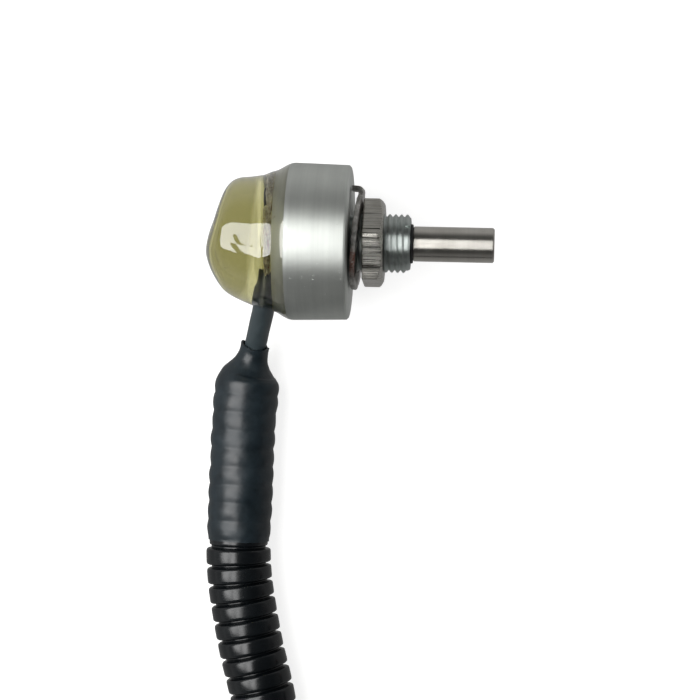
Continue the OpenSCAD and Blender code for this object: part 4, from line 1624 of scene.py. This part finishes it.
@dataclass
class LugWasher:
    """The stamped washer with its bent lug, leaning loose on the bushing."""

    radius: float = 8.2
    bore_r: float = 5.3
    thick: float = 0.9
    lug_reach: float = 9.5
    lug_w: float = 3.0
    tab: float = 1.6
    bend: float = 0.95
    torn_edge: float = 0.25
    rolled_edge: float = 0.1
    centre: Place = (1.32, 0.15, 0.0)
    lean_z_deg: float = -3.4
    lean_y_deg: float = -1.6

    def build(self) -> None:
        """Makes the washer: its sheared edge is torn, its other edges are rolled."""
        half = self.thick / 2
        rolled = self.rolled_edge
        profile: Profile = [(-half, self.bore_r + rolled), (-half + rolled, self.bore_r)]
        profile += [(half - rolled, self.bore_r), (half, self.bore_r + rolled), (half, self.radius - 0.2)]
        profile += [(half - 0.06, self.radius - 0.06), (half - 0.15, self.radius)]
        profile += [(half - 0.3 * i, self.radius + 0.02) for i in range(1, 3)]
        profile += [(-half + 0.06, self.radius - 0.05), (-half, self.radius - 0.15)]
        bm = bmesh.new()
        revolve(bm, profile, 240)
        rim_r = self.radius - self.torn_edge
        roughen(bm, 0.7, 0.1, 4.2, lambda place: 1.0 if math.hypot(place.y, place.z) > rim_r else 0.1)
        self.lug(bm, half)
        lean = Matrix.Rotation(math.radians(self.lean_y_deg), 4, "Y")
        turn = Matrix.Rotation(math.radians(self.lean_z_deg), 4, "Z")
        shift = Matrix.Translation(Vector(self.centre) * MM)
        bmesh.ops.transform(bm, matrix=shift @ turn @ lean, verts=bm.verts[:])
        make_piece("lug_washer_plate", bm, Body.STATOR, [ZINC_SHEET], ["lug_washer"], 30)

    def lug(self, bm: bmesh.types.BMesh, half: float) -> None:
        """Adds the lug: an arm out of the washer, bent back towards the housing.

        Args:
            bm: The washer's mesh.
            half: Half the washer's thickness, in millimetres.
        """
        arm_end = self.lug_reach - self.bend
        points: Profile = [(-half, self.bore_r + 1.2), (half, self.bore_r + 1.2)]
        centre = (half - self.bend, arm_end)
        outer = arc(centre, self.bend, 0, 90, 8)
        inner = arc(centre, max(self.bend - self.thick, 0.05), 90, 0, 4)
        points += [*outer, (-self.tab, self.lug_reach), (-self.tab, self.lug_reach - self.thick), *inner]
        edges = draw_outline(bm, [(x, y, -self.lug_w / 2) for x, y in points])
        face = bmesh.ops.edgeloop_fill(bm, edges=edges)["faces"]
        grown = bmesh.ops.extrude_face_region(bm, geom=face)["geom"]
        moved = [item for item in grown if isinstance(item, bmesh.types.BMVert)]
        bmesh.ops.translate(bm, verts=moved, vec=(0, 0, self.lug_w * MM))


@dataclass
class Potting:
    """The cast resin: a film over the housing's rounded edge, a fillet, and a blunt lopsided dome.

    Each place on the dome holds its x, half its width and how far its middle is from the shaft's axis.
    """

    film: Profile = field(
        default_factory=lambda: [
            (-10.05, 13.36), (-10.3, 13.36), (-10.7, 13.2), (-11.1, 13.0), (-11.5, 12.76), (-11.9, 12.52),
            (-12.3, 12.3), (-12.7, 12.14), (-13, 12.05),
        ]
    )  # fmt: skip
    dome: tuple[Place, ...] = (
        (-13.3, 11.98, -0.3), (-13.8, 11.85, -0.3), (-15, 11.5, -0.2), (-17, 11.0, 0.02), (-19, 10.5, 0.32),
        (-20.35, 9.86, 0.36), (-21.4, 8.85, 0.1), (-22.2, 7.3, -0.5), (-22.9, 5.55, -1.2), (-23.6, 3.9, -1.6),
        (-24.25, 1.8, -2), (-24.45, 0.8, -2.1),
    )  # fmt: skip
    crown_r: float = 11.9
    crown_taper: float = 1.2
    dome_x: float = -13.8
    dome_len: float = 10.8
    housing_r: float = 13.5
    housing_rear_x: float = -12.2
    housing_round: float = 2.8
    skirt_r: float = 10.6
    clearance: float = 0.04
    sides: int = 144

    def build(self) -> None:
        """Makes the resin's solid, which also fills the recess behind the cover."""
        low = box_mm("potting_dome")[0]
        face_x = box_mm("rear_cover")[0].x
        mouth_x, mouth_r = face_x + self.clearance, self.skirt_r + self.clearance
        edge = (self.housing_rear_x + self.housing_round, self.housing_r - self.housing_round)
        inside = [(mouth_x, 0.0), (mouth_x, mouth_r), (self.housing_rear_x + 0.06, mouth_r)]
        inside += arc(edge, self.housing_round - 0.06, 180, 104, 12)
        sections = Route.through(self.dome, 0.12)
        outside = [(point.x, point.y) for point in sections.points]
        bm = bmesh.new()
        revolve(bm, [*inside, *self.film, *outside, (low.x, 0.0)], self.sides, closed=False)
        for vert in bm.verts:
            place = vert.co / MM
            if place.x > self.dome[0][0]:
                continue
            nearest = min(sections.points, key=lambda point: abs(point.x - place.x))
            share = min(max((self.dome_x - place.x) / self.dome_len, 0.0), 0.999)
            crown = (self.crown_r - self.crown_taper * share) * (1 - share**7) ** 0.55
            blended = smooth_step((self.dome[0][0] - place.x) / 2)
            vert.co.z *= 1 + (crown / nearest.y - 1) * blended
            vert.co.y += nearest.z * blended * MM
        roughen(bm, 7.0, 0.07, 5.5, lambda place: smooth_step((-13.5 - place.x) / 2.5))
        make_piece("amber_potting", bm, Body.STATOR, [EPOXY], ["potting_dome"], 60)


@dataclass
class StrippedEnd:
    """What shows through the resin: three conductors, and the shield's strands with solder on them."""

    wires: dict[str, tuple[Place, ...]] = field(
        default_factory=lambda: {
            "wire_supply": ((-12.9, 1.2, 4.6), (-13.1, 1.2, 4.6), (-13.1, 0.6, 4.6), (-12.6, -1, 4.7),
                            (-12.6, -4.5, 4.9)),
            "wire_signal": ((-12.9, 4.2, 4.6), (-13.2, 4.2, 4.5), (-13.3, 3.4, 4.2), (-13.1, 1.2, 3.6),
                            (-12.7, -2, 4), (-13.3, -4.5, 4.2)),
            "wire_ground": ((-12.9, 7, 3.8), (-13.2, 7, 3.8), (-13.3, 6.4, 3.6), (-12.8, 2, 2.7),
                            (-12.6, -2, 3), (-12.7, -4.5, 3.4)),
        }
    )  # fmt: skip
    braid_places: tuple[Place, ...] = (
        (-13.1, 10.6, 1), (-13.1, 9.9, 3.9), (-13, 8.6, 6), (-12.95, 6.6, 7.9), (-12.85, 4.4, 9),
        (-12.8, 2.2, 9.5), (-12.8, -0.4, 9.3), (-12.9, -3, 8.3), (-13.1, -5, 6),
    )  # fmt: skip
    stray_places: tuple[Place, ...] = (
        (-12.5, 1.5, 7.8), (-12.95, 2.1, 9.4), (-12.85, 2.6, 10.9), (-12.4, 3, 11.8), (-11.75, 3.5, 12),
    )  # fmt: skip
    wire_r: float = 0.42
    strands: int = 16
    strand_r: float = 0.11
    strand_knots: int = 46
    twist_turns: float = 1.4
    bundle_r: float = 0.62
    stray_r: float = 0.07
    blobs: int = 22

    def build(self) -> None:
        """Makes the conductors and the shield."""
        sleevings = (("red_sleeving", RED_PVC), ("white_sleeving", WHITE_PVC), ("black_sleeving", BLACK_PVC))
        for (node, places), (slot, finish) in zip(self.wires.items(), sleevings):
            route = Route.through(places, 0.2)
            bm = tube(route, route.rings(self.wire_r, round(route.length / 0.25)), 20)
            make_piece(f"{node}_sleeved", bm, Body.STATOR, [finish], [node])
        self.shield()

    def shield(self) -> None:
        """Makes the shield: strands that wander round its line, and blobs of solder between them."""
        spine = Route.through(self.braid_places, 0.2)
        bm = bmesh.new()
        for strand in range(self.strands):
            start = TURN * strand / self.strands
            places = []
            for i in range(self.strand_knots + 1):
                share = i / self.strand_knots
                place, heading = spine.at(spine.length * share)
                across = heading.cross(Z_AXIS).normalized()
                above = across.cross(heading)
                wander = noise.noise(Vector((strand * 3.7, share * 6, 0.5)))
                angle = start + TURN * self.twist_turns * share + 1.6 * wander
                spread = self.bundle_r + 0.3 * noise.noise(Vector((share * 5, strand * 1.3, 2.5)))
                waist = 1 - 0.35 * math.exp(-(((share - 0.5) / 0.12) ** 2))
                aside = across * math.cos(angle) + above * math.sin(angle) * 0.75
                places.append(place + aside * spread * waist)
            route = Route.through(places, 0.3)
            join(bm, tube(route, route.rings(self.strand_r, 60), 6))
        for blob in range(self.blobs):
            share = (blob + 0.5) / self.blobs
            place, heading = spine.at(spine.length * share)
            jitter = Vector([noise.noise(Vector((blob * 2.3, axis * 5.1, 9.0))) for axis in range(3)])
            size = 0.22 + 0.3 * abs(noise.noise(Vector((blob * 1.7, 4.0, 4.0))))
            stretched = Vector((size, size * 1.6, size)) * MM
            matrix = Matrix.LocRotScale((place + jitter * 0.9) * MM, Quaternion(), stretched)
            bmesh.ops.create_icosphere(bm, subdivisions=2, radius=1.0, matrix=matrix)
        roughen(bm, 0.5, 0.12, 8.8)
        stray = Route.through(self.stray_places, 0.2)
        join(bm, tube(stray, stray.rings(self.stray_r, 30), 8))
        make_piece("shield_strands", bm, Body.STATOR, [TINNED_COPPER], ["shield_braid"], 60)


@dataclass(frozen=True)
class InnerParts:
    """The parts that the housing hides, whose exact shapes come with the frame: each takes its own finish."""

    finishes: tuple[tuple[str, Finish], ...] = (
        ("front_bearing", SINTERED_BRONZE),
        ("rear_bearing", SINTERED_BRONZE),
        ("thrust_washer", PTFE),
        ("retaining_ring", SPRING_STEEL),
        ("rotor_hub", MOULDED_PHENOLIC),
        ("wiper", PALLADIUM_ALLOY),
        ("element_board", CERAMIC_BOARD),
        ("resistance_track", CARBON_INK),
        ("collector_ring", GOLD_PLATE),
        ("terminal_pins", GOLD_PLATE),
        ("rear_cover", GLASS_EPOXY),
    )

    def build(self) -> None:
        """Gives each part its finish."""
        for node, finish in self.finishes:
            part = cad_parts[node]
            if not part.material_slots:
                part.data.materials.append(None)
            for slot in part.material_slots:
                slot.material = finish.build()
            LOG.info("%s: %s", node, finish.label)


def main() -> None:
    """Builds the scene: camera and lead first, then the sensor's pieces, and the studio round them."""
    logging.basicConfig(level=logging.INFO, format="%(name)s: %(message)s")
    Viewpoint().build()
    for assembly in (
        Lead(),
        Housing(),
        Shaft(),
        Seal(),
        Nut(),
        LugWasher(),
        Potting(),
        StrippedEnd(),
        InnerParts(),
        Studio(),
    ):
        LOG.info("building %s", type(assembly).__name__)
        assembly.build()


if __name__ == "__main__":
    main()
